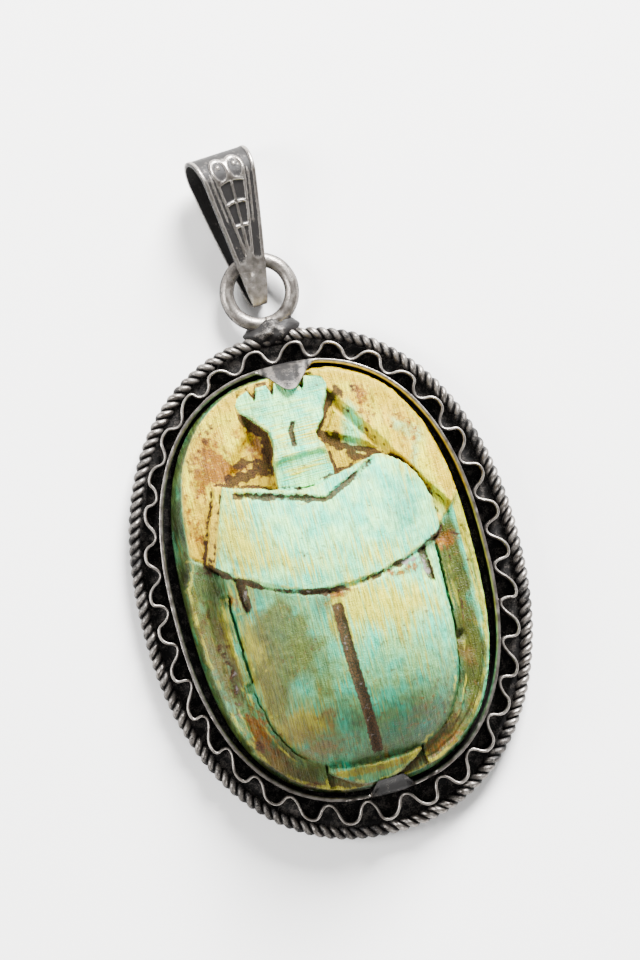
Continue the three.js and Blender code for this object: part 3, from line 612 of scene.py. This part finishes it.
# Glazed steatite: an alkaline glaze over carved soapstone, thin and semi-matt, worn to
# cream on the edges, and that cream on the edges is partly a painted highlight. Fine
# scratches of the graver run along the body and across the head.
# The real scratches and grains are taken to be a few hundredths of a millimetre wide. That
# is too fine to show, so they are drawn coarser, at 0.06 to 0.12 mm.
glazed_stone, tree = new_material("glazed_steatite")
place = node(tree, "ShaderNodeTexCoord", {}).outputs["Object"]
mark = {
    name: node(tree, "ShaderNodeAttribute", {"attribute_name": name}).outputs["Fac"]
    for name in marks
}
pattern = {}
for name, spacing_mm, detail in (
    ("along", (0.12, 2.6, 2.6), 4.0),
    ("fine_along", (0.06, 0.9, 0.9), 2.0),
    ("across", (2.0, 0.1, 2.0), 4.0),
    ("clouds", (1.1, 1.7, 1.1), 5.0),
    ("specks", (0.3, 0.3, 0.3), 6.0),
    ("grains", (0.09, 0.09, 0.09), 2.0),
):
    spacing = node(tree, "ShaderNodeMapping", {
        "Vector": place, "Scale": [1 / (across_mm * mm) for across_mm in spacing_mm],
    }).outputs[0]
    noise = node(tree, "ShaderNodeTexNoise", {"Vector": spacing, "Scale": 1.0, "Detail": detail})
    pattern[name] = noise.outputs[0]
scratches = node(tree, "ShaderNodeMix", {
    0: mark["head"], 2: pattern["along"], 3: pattern["across"],
}).outputs[0]
pattern["scratches"] = scratches

cloud_share = node(tree, "ShaderNodeMapRange", {
    "Value": pattern["clouds"], "From Min": 0.38, "From Max": 0.62,
}).outputs[0]
colour = node(tree, "ShaderNodeMix", {
    "data_type": "RGBA", 0: cloud_share, 6: tint("#30c496"), 7: tint("#90e48c"),
}).outputs[2]
scratch_share = node(tree, "ShaderNodeMapRange", {
    "Value": scratches, "From Min": 0.5, "From Max": 0.68, "To Max": 0.45,
}).outputs[0]
colour = node(tree, "ShaderNodeMix", {
    "data_type": "RGBA", 0: scratch_share, 6: colour, 7: tint("#b4b21c"),
}).outputs[2]

# Each layer covers what is under it, where its mark and its pattern add up to enough.
for name, texture, spread, strength, code, way in (
    ("aqua", "clouds", 1.4, 0.6, "#0f8a74", "MIX"),
    ("straw", "scratches", 2.2, 0.9, "#c0b60a", "MIX"),
    # The shade layer multiplies in a dark tint as painted shade.
    ("shade", "clouds", 0.5, 1.0, "#766961", "MULTIPLY"),
    ("olive", "clouds", 1.2, 0.85, "#474a08", "MIX"),
    ("tan", "specks", 1.2, 0.8, "#5a451c", "MIX"),
    ("gold", "specks", 0.4, 1.0, "#c2a400", "MIX"),
    ("cream", "clouds", 1.2, 0.9, "#d6cc0e", "MIX"),
    ("ochre", "specks", 2.2, 0.95, "#7a4a00", "MIX"),
    # A pale cream on raised edges, as rubbed glaze and as a painted highlight.
    ("bare_and_highlight", "specks", 0.8, 0.6, "#b5b02a", "MIX"),
    # This layer multiplies in a dark tint, as painted shade and as grime.
    ("grime_and_shade", "clouds", 0.6, 1.0, "#665e48", "MULTIPLY"),
):
    middle = 0.5 * spread
    uneven = node(tree, "ShaderNodeMath", {
        "operation": "MULTIPLY_ADD", 0: pattern[texture], 1: spread, 2: mark[name],
    }).outputs[0]
    share = node(tree, "ShaderNodeMapRange", {
        "Value": uneven, "From Min": 0.25 + middle, "From Max": 0.85 + middle, "To Max": strength,
    }).outputs[0]
    colour = node(tree, "ShaderNodeMix", {
        "data_type": "RGBA", "blend_type": way, 0: share, 6: colour, 7: tint(code),
    }).outputs[2]

# The finest scratches darken it a little all over.
fine_share = node(tree, "ShaderNodeMapRange", {
    "Value": pattern["fine_along"], "From Min": 0.35, "From Max": 0.6,
    "To Min": 0.5, "To Max": 1.05,
}).outputs[0]
colour = node(tree, "ShaderNodeMix", {
    "data_type": "RGBA", "blend_type": "MULTIPLY", 0: 1.0, 6: colour, 7: fine_share,
}).outputs[2]

# Dark earth fills the cuts, with paler crumbs on it, and both are matt.
soil_edge = node(tree, "ShaderNodeMath", {
    "operation": "MULTIPLY_ADD", 0: pattern["specks"], 1: 1.3, 2: mark["soil"],
}).outputs[0]
soil_share = node(tree, "ShaderNodeMapRange", {
    "Value": soil_edge, "From Min": 1.05, "From Max": 1.35, "To Max": 0.95,
}).outputs[0]
grain_share = node(tree, "ShaderNodeMapRange", {
    "Value": pattern["grains"], "From Min": 0.38, "From Max": 0.62,
}).outputs[0]
earth = node(tree, "ShaderNodeMix", {
    "data_type": "RGBA", 0: grain_share, 6: tint("#180e07"), 7: tint("#422811"),
}).outputs[2]
crumb_edge = node(tree, "ShaderNodeMath", {
    "operation": "MULTIPLY_ADD", 0: pattern["specks"], 1: 2.0, 2: mark["crumbs"],
}).outputs[0]
crumb_share = node(tree, "ShaderNodeMapRange", {
    "Value": crumb_edge, "From Min": 1.5, "From Max": 1.9, "To Max": 0.9,
}).outputs[0]
earth = node(tree, "ShaderNodeMix", {
    "data_type": "RGBA", 0: crumb_share, 6: earth, 7: tint("#7c7270"),
}).outputs[2]
colour = node(tree, "ShaderNodeMix", {
    "data_type": "RGBA", 0: soil_share, 6: colour, 7: earth,
}).outputs[2]

roughness = node(tree, "ShaderNodeMapRange", {
    "Value": soil_share, "To Min": 0.4, "To Max": 0.85,
}).outputs[0]
relief = node(tree, "ShaderNodeMath", {
    "operation": "MULTIPLY_ADD", 0: pattern["grains"], 1: 0.6, 2: scratches,
}).outputs[0]
bumps = node(tree, "ShaderNodeBump", {
    "Height": relief, "Strength": 1.0, "Distance": 0.09 * mm,
}).outputs[0]
glaze = node(tree, "ShaderNodeBsdfPrincipled", {
    "Base Color": colour, "Roughness": roughness, "Normal": bumps,
    "IOR": 1.5, "Specular IOR Level": 0.22,
})
node(tree, "ShaderNodeOutputMaterial", {"Surface": glaze.outputs[0]})

stone.data.materials.append(glazed_stone)
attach(stone, "root")
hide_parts("scarab")


# ---- back plate
# A flat oval cut from silver sheet. Everything else is soldered or set on it.
# Its face is black between the waves, and its back is taken to be plain and rubbed.
plate_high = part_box("back_plate")[1]
plate_half_width = plate_high.x / mm
plate_half_length = plate_high.y / mm
plate_top = plate_high.z / mm
# The other pieces stand this far off it, where the real ones are soldered down.
solder_gap = 0.05


def oval(angle, half_width, half_length, power, centre=(0, 0)):
    """Points of an oval with squared or rounded shoulders."""
    c, s = np.cos(angle), np.sin(angle)
    reach = (np.abs(c / half_width) ** power + np.abs(s / half_length) ** power) ** (-1 / power)
    return np.stack([centre[0] + reach * c, centre[1] + reach * s], -1)


# Across the plate from the middle of its back, round its edge to the middle of its face.
plate_profile = [
    (0.0, 0.001), (0.5, 0.001), (0.8, 0.001), (0.97, 0.001),
    (1, 0.08), (1, 0.3), (1, plate_top - 0.08), (0.97, plate_top),
    (0.9, plate_top), (0.8, plate_top), (0.6, plate_top), (0.0, plate_top),
]
plate_angle = np.linspace(0, 2 * np.pi, 240, endpoint=False)
edge_line = oval(plate_angle, plate_half_width, plate_half_length, 2.2)
plate_points = np.stack([
    np.concatenate([edge_line * max(scale, 0.001), np.full((240, 1), up)], -1)
    for scale, up in plate_profile
])


def worked_silver(name, bright, dull, rubbed_from, rubbed_to, rough):
    """Silver with the mark "rubbed" saying where it is bright, and black where it isn't."""
    material, tree = new_material(name)
    place = node(tree, "ShaderNodeTexCoord", {}).outputs["Object"]
    rubbed = node(tree, "ShaderNodeAttribute", {"attribute_name": "rubbed"}).outputs["Fac"]
    pattern = []
    for spot_mm in (0.5, 0.09):
        spacing = node(tree, "ShaderNodeMapping", {
            "Vector": place, "Scale": [1 / (spot_mm * mm)] * 3,
        }).outputs[0]
        noise = node(tree, "ShaderNodeTexNoise", {"Vector": spacing, "Scale": 1.0, "Detail": 4.0})
        pattern.append(noise.outputs[0])
    blotches, fine = pattern
    uneven = node(tree, "ShaderNodeMath", {
        "operation": "MULTIPLY_ADD", 0: blotches, 1: 1.1, 2: rubbed,
    }).outputs[0]
    uneven = node(tree, "ShaderNodeMath", {
        "operation": "MULTIPLY_ADD", 0: fine, 1: 0.75, 2: uneven,
    }).outputs[0]
    shine = node(tree, "ShaderNodeMapRange", {
        "Value": uneven, "From Min": rubbed_from + 0.92, "From Max": rubbed_to + 0.92,
    }).outputs[0]
    cloud = node(tree, "ShaderNodeMapRange", {
        "Value": blotches, "From Min": 0.35, "From Max": 0.65,
    }).outputs[0]
    metal_colour = node(tree, "ShaderNodeMix", {
        "data_type": "RGBA", 0: cloud, 6: tint(bright), 7: tint(dull),
    }).outputs[2]
    colour = node(tree, "ShaderNodeMix", {
        "data_type": "RGBA", 0: shine, 6: tint("#0d0a09"), 7: metal_colour,
    }).outputs[2]
    metallic = node(tree, "ShaderNodeMapRange", {
        "Value": shine, "To Min": 0.35, "To Max": 1.0,
    }).outputs[0]
    roughness = node(tree, "ShaderNodeMapRange", {
        "Value": shine, "To Min": 0.62, "To Max": rough,
    }).outputs[0]
    relief = node(tree, "ShaderNodeMath", {
        "operation": "MULTIPLY_ADD", 0: fine, 1: 0.6, 2: blotches,
    }).outputs[0]
    bumps = node(tree, "ShaderNodeBump", {
        "Height": relief, "Strength": 0.5, "Distance": 0.04 * mm,
    }).outputs[0]
    metal = node(tree, "ShaderNodeBsdfPrincipled", {
        "Base Color": colour, "Metallic": metallic, "Roughness": roughness, "Normal": bumps,
    })
    node(tree, "ShaderNodeOutputMaterial", {"Surface": metal.outputs[0]})
    return material


# Hand-worked silver, blackened and rubbed back: soft and grey where it is touched, black
# silver sulphide where it is not. The rubbing scratches are too fine to show, so they are
# drawn as a 0.09 mm grain.
blackened_silver = worked_silver("blackened_silver", "#98928b", "#6e6863", 0.45, 0.85, 0.36)

plate = lay_mesh("silver_back_plate", plate_points, round_columns=True, caps=True)
keep_mark(plate, "rubbed", np.where(plate_points[..., 2] < 0.3, 0.85, 0.46))
plate.data.materials.append(blackened_silver)
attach(plate, "root")
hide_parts("back_plate")


# ---- twisted border
# Two round silver wires twisted together and soldered round the edge of the plate.
# Their outer sides are rubbed bright, and black lies between the turns.
border_oval = (11.78, 15.73, 2.2)
turns = 67
steps_a_turn = 28
wire_radius = 0.212
wire_offset = 0.206
border_axis = plate_top + solder_gap + 0.42


def distance_run(line):
    """Distance along a line from its start to each of its points."""
    return np.concatenate([[0], np.cumsum(np.linalg.norm(np.diff(line, axis=0), axis=1))])


def at_distance(wanted, run, line):
    """Points of a flat line at these distances from its start."""
    return np.stack([np.interp(wanted, run, line[:, k]) for k in (0, 1)], -1)


def even_oval(count, *shape):
    """An oval in even steps along its length, with the outward direction at each."""
    fine = oval(np.linspace(0, 2 * np.pi, 7201), *shape)
    run = distance_run(fine)
    wanted = np.arange(count) / count * run[-1]
    points = at_distance(wanted, run, fine)
    ahead = at_distance((wanted + 0.02) % run[-1], run, fine) - points
    outward = np.stack([ahead[:, 1], -ahead[:, 0]], -1)
    return points, outward / np.linalg.norm(outward, axis=1, keepdims=True)


for number in range(2):
    count = turns * steps_a_turn
    line, outward = even_oval(count, *border_oval)
    twist = 2 * np.pi * turns * np.arange(count) / count + number * np.pi
    swing = np.concatenate([outward * np.sin(twist)[:, None], np.cos(twist)[:, None]], 1)
    offset = wire_offset + 0.012 * mottle(line[:, 0], line[:, 1], 1.1, 31 + number)
    core = np.concatenate([line, np.full((count, 1), border_axis)], -1)
    centre = core + swing * offset[:, None]
    ahead = np.roll(centre, -1, 0) - np.roll(centre, 1, 0)
    ahead /= np.linalg.norm(ahead, axis=1, keepdims=True)
    aside = np.cross(ahead, swing)
    aside /= np.linalg.norm(aside, axis=1, keepdims=True)
    up = np.cross(aside, ahead)
    around = np.linspace(0, 2 * np.pi, 12, endpoint=False)
    points = centre[:, None] + wire_radius * (
        up[:, None] * np.cos(around)[None, :, None] + aside[:, None] * np.sin(around)[None, :, None]
    )
    wire = lay_mesh(f"border_wire_{number + 1}", points, round_rows=True, round_columns=True)
    from_axis = np.linalg.norm(points - core[:, None], axis=2)
    lifted = ease(-0.3, 0.35, points[..., 2] - border_axis)
    worn = 0.72 + 0.28 * mottle(points[..., 0], points[..., 1], 1.7, 34)
    keep_mark(wire, "rubbed", worn * ease(0.22, 0.42, from_axis) * (0.3 + 0.7 * lifted))
    wire.data.materials.append(blackened_silver)
    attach(wire, "root")
    if number == 0:
        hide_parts("rope_border")


# ---- wave ribbon
# A thin silver strip crimped by hand into waves, on edge between wall and border.
# The crests are round loops, and only the top edge is bright.
wall_oval = (9.89, 13.66, 2.4, (-0.1, 0.19))
ribbon_foot = plate_top + solder_gap
wall_clearance, border_clearance = 0.26, 0.53
waves = 33
steps_a_wave = 26
count = waves * steps_a_wave
hand = np.random.RandomState(7)
crest_shift = hand.uniform(-0.08, 0.08, waves)
crest_height = hand.uniform(-0.08, 0.0, waves)
trough_height = hand.uniform(0.0, 0.1, waves)
place_in = np.arange(count) / steps_a_wave
phase = 2 * np.pi * place_in
wave_number = np.floor(place_in + 0.5).astype(int) % waves
between = np.floor(place_in).astype(int) % waves
swing = np.cos(phase) + 0.2 * np.sin(phase) ** 2
crest = 0.5 + 0.5 * np.sign(swing) * np.abs(swing) ** 0.92
crest = crest + swing * np.where(swing > 0, crest_height[wave_number], -trough_height[between])
lean = 0.02 * np.sin(2 * phase) + crest_shift[wave_number] * np.maximum(0, swing)
border_line = oval(np.linspace(0, 2 * np.pi, 7201), *border_oval)
run = distance_run(border_line)
spot = at_distance((place_in / waves + lean / waves + 0.75) % 1 * run[-1], run, border_line)
angle = np.arctan2(spot[:, 1], spot[:, 0])
inner_size = [half + wall_clearance for half in wall_oval[:2]]
outer_size = [half - border_clearance for half in border_oval[:2]]
inner = oval(angle, *inner_size, *wall_oval[2:])
outer = oval(angle, *outer_size, *border_oval[2:])
ribbon_line = inner + (outer - inner) * crest[:, None]
forward = np.roll(ribbon_line, -1, 0) - np.roll(ribbon_line, 1, 0)
forward /= np.linalg.norm(forward, axis=1, keepdims=True)
sideways = np.stack([forward[:, 1], -forward[:, 0]], -1)
ribbon_profile = [
    (0.09, 0), (0.09, 0.9), (0.09, 1.8), (0.065, 1.87), (0, 1.9),
    (-0.065, 1.87), (-0.09, 1.8), (-0.09, 0.9), (-0.09, 0),
]
top_wobble = 0.05 * mottle(ribbon_line[:, 0], ribbon_line[:, 1], 0.9, 33) - 0.05
points = []
for out, up in ribbon_profile:
    level = ribbon_foot + up + (up > 1) * top_wobble
    points.append(np.concatenate([ribbon_line + sideways * out, level[:, None]], -1))
points = np.stack(points, 1)
ribbon = lay_mesh("crimped_ribbon", points, round_rows=True, round_columns=True)
keep_mark(ribbon, "rubbed", 0.1 + 0.85 * ease(1.5, 1.8, points[..., 2] - ribbon_foot))
ribbon.data.materials.append(blackened_silver)
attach(ribbon, "root")
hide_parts("wave_ribbon")


# ---- wall round the stone
# A strip of silver sheet bent round the scarab, soldered on edge, its rim filed by hand.
# A wide tongue at the head end and a small one at the tail are pressed in over the stone.
wall_height = 2.45
tongues_at = 0.45
wall_count = 900
wall_line, wall_out = even_oval(wall_count, *wall_oval)
at_head = wall_line[:, 1] > 0
near_end = np.abs(wall_line[:, 1]) > 0.9 * wall_oval[1]
from_middle = np.abs(wall_line[:, 0] - tongues_at)
head_tongue, tail_tongue = 1 - ease(0.1, 1.95, from_middle), 1 - ease(0.8, 1.5, from_middle)
grown = near_end * np.where(at_head, head_tongue, tail_tongue)
slit = near_end * ~at_head * (1 - ease(2.2, 3.0, from_middle))
tongue_reach = np.where(at_head, 1.6, 0.75) * grown
tongue_rise = np.where(at_head, 2.6, 0.45) * grown
tongue_rise = tongue_rise + 0.3 * graver_cut(grown - 0.55, 0.4) * at_head
filed = 0.035 * mottle(wall_line[:, 0], wall_line[:, 1], 1.4, 41)
filed = filed + 0.02 * mottle(wall_line[:, 0], wall_line[:, 1], 0.4, 42)
rim_height = ribbon_foot + wall_height - 0.7 * slit * (1 - grown) + filed - 0.05
half_wall = 0.14
bend = 0.4
# Up the outside of the wall, over its rim or tongue, and down the inside.
wall_profile = [
    (half_wall, np.full(wall_count, ribbon_foot)),
    (half_wall, rim_height - 1.2),
    (half_wall, rim_height - bend),
    (half_wall - 0.1 * tongue_reach, rim_height - 0.1 + 0.2 * tongue_rise),
    (half_wall - 0.03 - 0.3 * tongue_reach, rim_height + 0.45 * tongue_rise),
    (half_wall - 0.08 - 0.65 * tongue_reach, rim_height + 0.02 + 0.75 * tongue_rise),
    (-half_wall / 2 - tongue_reach, rim_height + tongue_rise + 0.01),
    (-half_wall - tongue_reach, rim_height - 0.06 + 0.94 * tongue_rise),
    (-half_wall - 0.65 * tongue_reach, rim_height - 0.12 + 0.55 * tongue_rise),
    (-half_wall - 0.25 * tongue_reach, rim_height - 0.2 + 0.25 * tongue_rise),
    (-half_wall, rim_height - 1.2 * bend),
    (-half_wall, rim_height - 1.3),
    (-half_wall, np.full(wall_count, ribbon_foot)),
]
points = []
for out, up in wall_profile:
    out = np.broadcast_to(out, (wall_count,))
    points.append(np.concatenate([wall_line + wall_out * out[:, None], up[:, None]], -1))
points = np.stack(points, 1)
# The tongues are pressed down until they lie on the stone, so they follow its face.
# Each line of the profile keeps this far above it, and those at 0 are left as they are.
above_stone = np.array([0, 0, 0, 0.1, 0.28, 0.28, 0.22, 0.06, 0.06, 0.06, 0, 0, 0])
on_u, on_v = points[..., 0] + carving_left, points[..., 1]
over_stone = (stone_radius(on_u, on_v) < 1) & (above_stone > 0)
lift = np.where(over_stone, carving(on_u, on_v) + above_stone - points[..., 2], 0).clip(0)
lift = np.max([np.roll(lift, k, 0) for k in range(-6, 7)], 0)
lift = np.mean([np.roll(lift, k, 0) for k in range(-6, 7)], 0)
points[..., 2] += lift * ease(0, 0.3, grown)[:, None]
bezel = lay_mesh("bezel_wall", points, round_rows=True, round_columns=True)
rim_mark = ease(-0.35, -0.08, points[..., 2] - rim_height[:, None])
claw_bright = np.maximum(graver_cut(grown - 0.5, 0.28), 1 - ease(12.6, 12.95, points[:, :, 1].T))
tongue_dark = np.where(at_head, 1 - 0.5 * claw_bright, 0.95) * ease(0.02, 0.2, grown)
keep_mark(bezel, "rubbed", 0.12 + 0.78 * rim_mark * (1 - 0.92 * tongue_dark.T))
# The same silver, brighter because it is filed and handled: soft and light grey.
rubbed_silver = worked_silver("rubbed_silver", "#a39d96", "#77716b", 0.3, 0.75, 0.3)
bezel.data.materials.append(rubbed_silver)
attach(bezel, "root")
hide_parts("bezel")


# ---- jump ring
# Round silver wire bent into a ring, its ends lapped near the foot.
# It lies flat against the end of the border, where it is soldered, and its lap is dark.
ring_radius, ring_wire = 2.05, 0.45
ring_centre = np.array([0.2, 18.75, plate_top + solder_gap + ring_wire])
ring_steps, ring_sides = 160, 24
around = np.linspace(0, 2 * np.pi, ring_steps, endpoint=False) - np.pi / 2
tube = np.linspace(0, 2 * np.pi, ring_sides, endpoint=False)
outward = np.stack([np.cos(around), np.sin(around), np.zeros(ring_steps)], -1)
swell = 0.05 * np.exp(-(((around + np.pi / 2 + 0.25) / 0.25) ** 2))
uneven = 0.012 * mottle(around[:, None] * ring_radius, tube[None] * ring_wire, 0.6, 51)
reach_out = (ring_wire + swell)[:, None] + uneven
points = ring_centre + outward[:, None] * (ring_radius + reach_out * np.cos(tube))[..., None]
points[..., 2] += reach_out * np.sin(tube)
points[..., 2] = np.maximum(points[..., 2], plate_top)
ring = lay_mesh("jump_ring_wire", points, round_rows=True, round_columns=True)
off_lap = around + np.pi / 2 + 0.82 + 0.03 * np.sin(3 * np.arange(ring_steps))
lap_line = np.exp(-((off_lap / 0.045) ** 2))
ring_top = ease(-0.1, 0.4, points[..., 2] - ring_centre[2])
keep_mark(ring, "rubbed", 0.15 + 0.68 * ring_top * (1 - 0.8 * lap_line[:, None]))
ring.data.materials.append(blackened_silver)
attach(ring, "root")
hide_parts("jump_ring")


# ---- solder under the ring
# A lumpy pool of silver solder that ran between the ring and the border as it was made.
# It was left as it set, domed and uneven, and has gone dark.
foot_u, foot_v = np.meshgrid(np.linspace(-1, 1, 61), np.linspace(-1, 1, 41))
foot_x = foot_u * np.sqrt(1 - foot_v**2 / 2)
foot_y = foot_v * np.sqrt(1 - foot_u**2 / 2)
dome = 1.15 * np.sqrt(np.maximum(0, 1 - np.hypot(foot_x, foot_y) ** 2))
dome = dome * (1 + 0.2 * mottle(foot_x * 1.7, foot_y, 0.45, 53))
pool = np.stack([
    0.35 + 1.75 * foot_x * (1 + 0.1 * mottle(foot_y * 2, foot_x, 0.7, 54)),
    16.2 + 0.95 * foot_y,
    plate_top + solder_gap + dome,
], -1)
solder = lay_mesh("ring_solder", pool)
keep_mark(solder, "rubbed", 0.2 + 0.4 * ease(0.8, 1.3, pool[..., 2] - plate_top))
solder.data.materials.append(blackened_silver)
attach(solder, "root")


# ---- bail
# A tapered silver strap, stamped on its face and folded over into a loop.
# Its two narrow ends meet inside the jump ring, and it hangs loose there.
bail_length, bail_thickness, fold_radius = 9.85, 0.28, 1.62
tip_half_width, fold_half_width = 0.45, 1.95
half_strap = bail_thickness / 2
leaf_reach = bail_length - fold_radius
opening = half_strap + 0.03
t = np.linspace(0, 1, 130, endpoint=False)
leaf = np.stack([leaf_reach * t, opening + (fold_radius - half_strap - opening) * t**0.7], -1)
bow = np.linspace(-np.pi / 2, np.pi / 2, 48)
middle_radius = fold_radius - half_strap
fold = np.stack([leaf_reach + middle_radius * np.cos(bow), middle_radius * np.sin(bow)], -1)
line = np.concatenate([leaf * (1, -1), fold, leaf[::-1]])
step = np.gradient(line, axis=0)
step /= np.linalg.norm(step, axis=1, keepdims=True)
widening = np.minimum(1, (line[:, 0] / bail_length) ** 0.85)
strap_half_width = mixed(tip_half_width, fold_half_width, widening)
share = np.linspace(-1, 1, 61)
run = distance_run(line)
from_tip = run[-1] - run


def stamped(x, s, edge):
    """How far the face stands above the struck ground, from 0 to 1, and where it is deepest.

    x is across the strap, s is the distance from its tip, and edge is that from its side.
    """
    panel = mixed(0.2, 0.92, np.clip((s - 3.2) / 5.1, 0, 1))
    on_panel = ease(3.1, 3.5, s) * (1 - ease(8.3, 8.45, s))
    across_bars = [
        graver_cut(s - at + 0.18 * (x / 0.8) ** 2, 0.15) * (np.abs(x) < panel + 0.08)
        for at in (5.3, 6.85, 8.3)
    ]
    middle_line = graver_cut(x, 0.12) * ease(3.1, 3.5, s) * (1 - ease(9.6, 9.8, s))
    side_lines = graver_cut(np.abs(x) - panel, 0.12) * on_panel
    flutes = 0.6 * graver_cut(np.abs(x) - panel - 0.3, 0.1)
    flutes = flutes * ease(5.0, 6.0, s) * (1 - ease(8.4, 9.2, s))
    loops = 0.5 * np.hypot((np.abs(x) - 0.52) / 0.5, (s - 8.95) / 0.78) - 0.5
    loops = graver_cut(loops, 0.14) * ease(8.2, 8.4, s)
    pips = 1 - ease(0.06, 0.18, np.hypot(np.abs(x) - 0.55, s - 9.2))
    border = graver_cut(edge - 0.12, 0.16) * ease(1.6, 2.4, s)
    tip = 1 - ease(2.6, 3.4, s) + 0.9 * graver_cut(x, 0.35) * (1 - ease(3.2, 4.2, s))
    over_top = ease(10.6, 11.2, s)
    raised = [*across_bars, middle_line, side_lines, flutes, loops, pips, border, tip, over_top]
    raised = np.clip(np.max(raised, 0), 0, 1)
    cells = (np.abs(x) < panel) * ease(5.3, 5.5, s) * (1 - ease(8.0, 8.2, s)) * (1 - raised)
    return raised, cells


# The struck outer face and the plain inner one, joined along the strap's sides.
skin, rubbed_mark = [], []
for face, shares in ((1, share), (-1, share[::-1])):
    x = strap_half_width[:, None] * shares[None]
    lift = half_strap * np.ones(x.shape)
    s = np.broadcast_to(from_tip[:, None], x.shape)
    if face == -1:
        raised, cells = stamped(x, s, strap_half_width[:, None] - np.abs(x))
        dimple = np.exp(-(((x + 0.2) / 0.16) ** 2 + ((s - 1.9) / 0.25) ** 2))
        lift = lift - 0.08 * (1 - raised) - 0.04 * cells - 0.05 * dimple
        rubbed_mark.append(0.16 + 0.72 * raised - 0.14 * cells - 0.3 * dimple)
    else:
        rubbed_mark.append(0.12 + 0.5 * (1 - ease(0.6, 2.0, s)))
    skin.append(np.stack([
        x,
        np.broadcast_to(line[:, :1], x.shape) - face * lift * step[:, 1:],
        np.broadcast_to(line[:, 1:], x.shape) + face * lift * step[:, :1],
    ], -1))
points = np.concatenate(skin, 1)
rubbed_mark = np.concatenate(rubbed_mark, 1)
# It is turned a little and tilted, so that its low side rests on the table.
turn = (
    Matrix.Rotation(math.radians(5), 3, "Z")
    @ Matrix.Rotation(math.radians(15), 3, "Y")
    @ Matrix.Rotation(math.radians(10.5), 3, "X")
)
tip_at = np.array([0.0, 18.05, 0.65])
points = points @ np.array(turn).T + tip_at
bail = lay_mesh("folded_bail", points, round_columns=True, caps=True)
keep_mark(bail, "rubbed", rubbed_mark)
bail.data.materials.append(rubbed_silver)
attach(bail, "root")
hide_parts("bail")
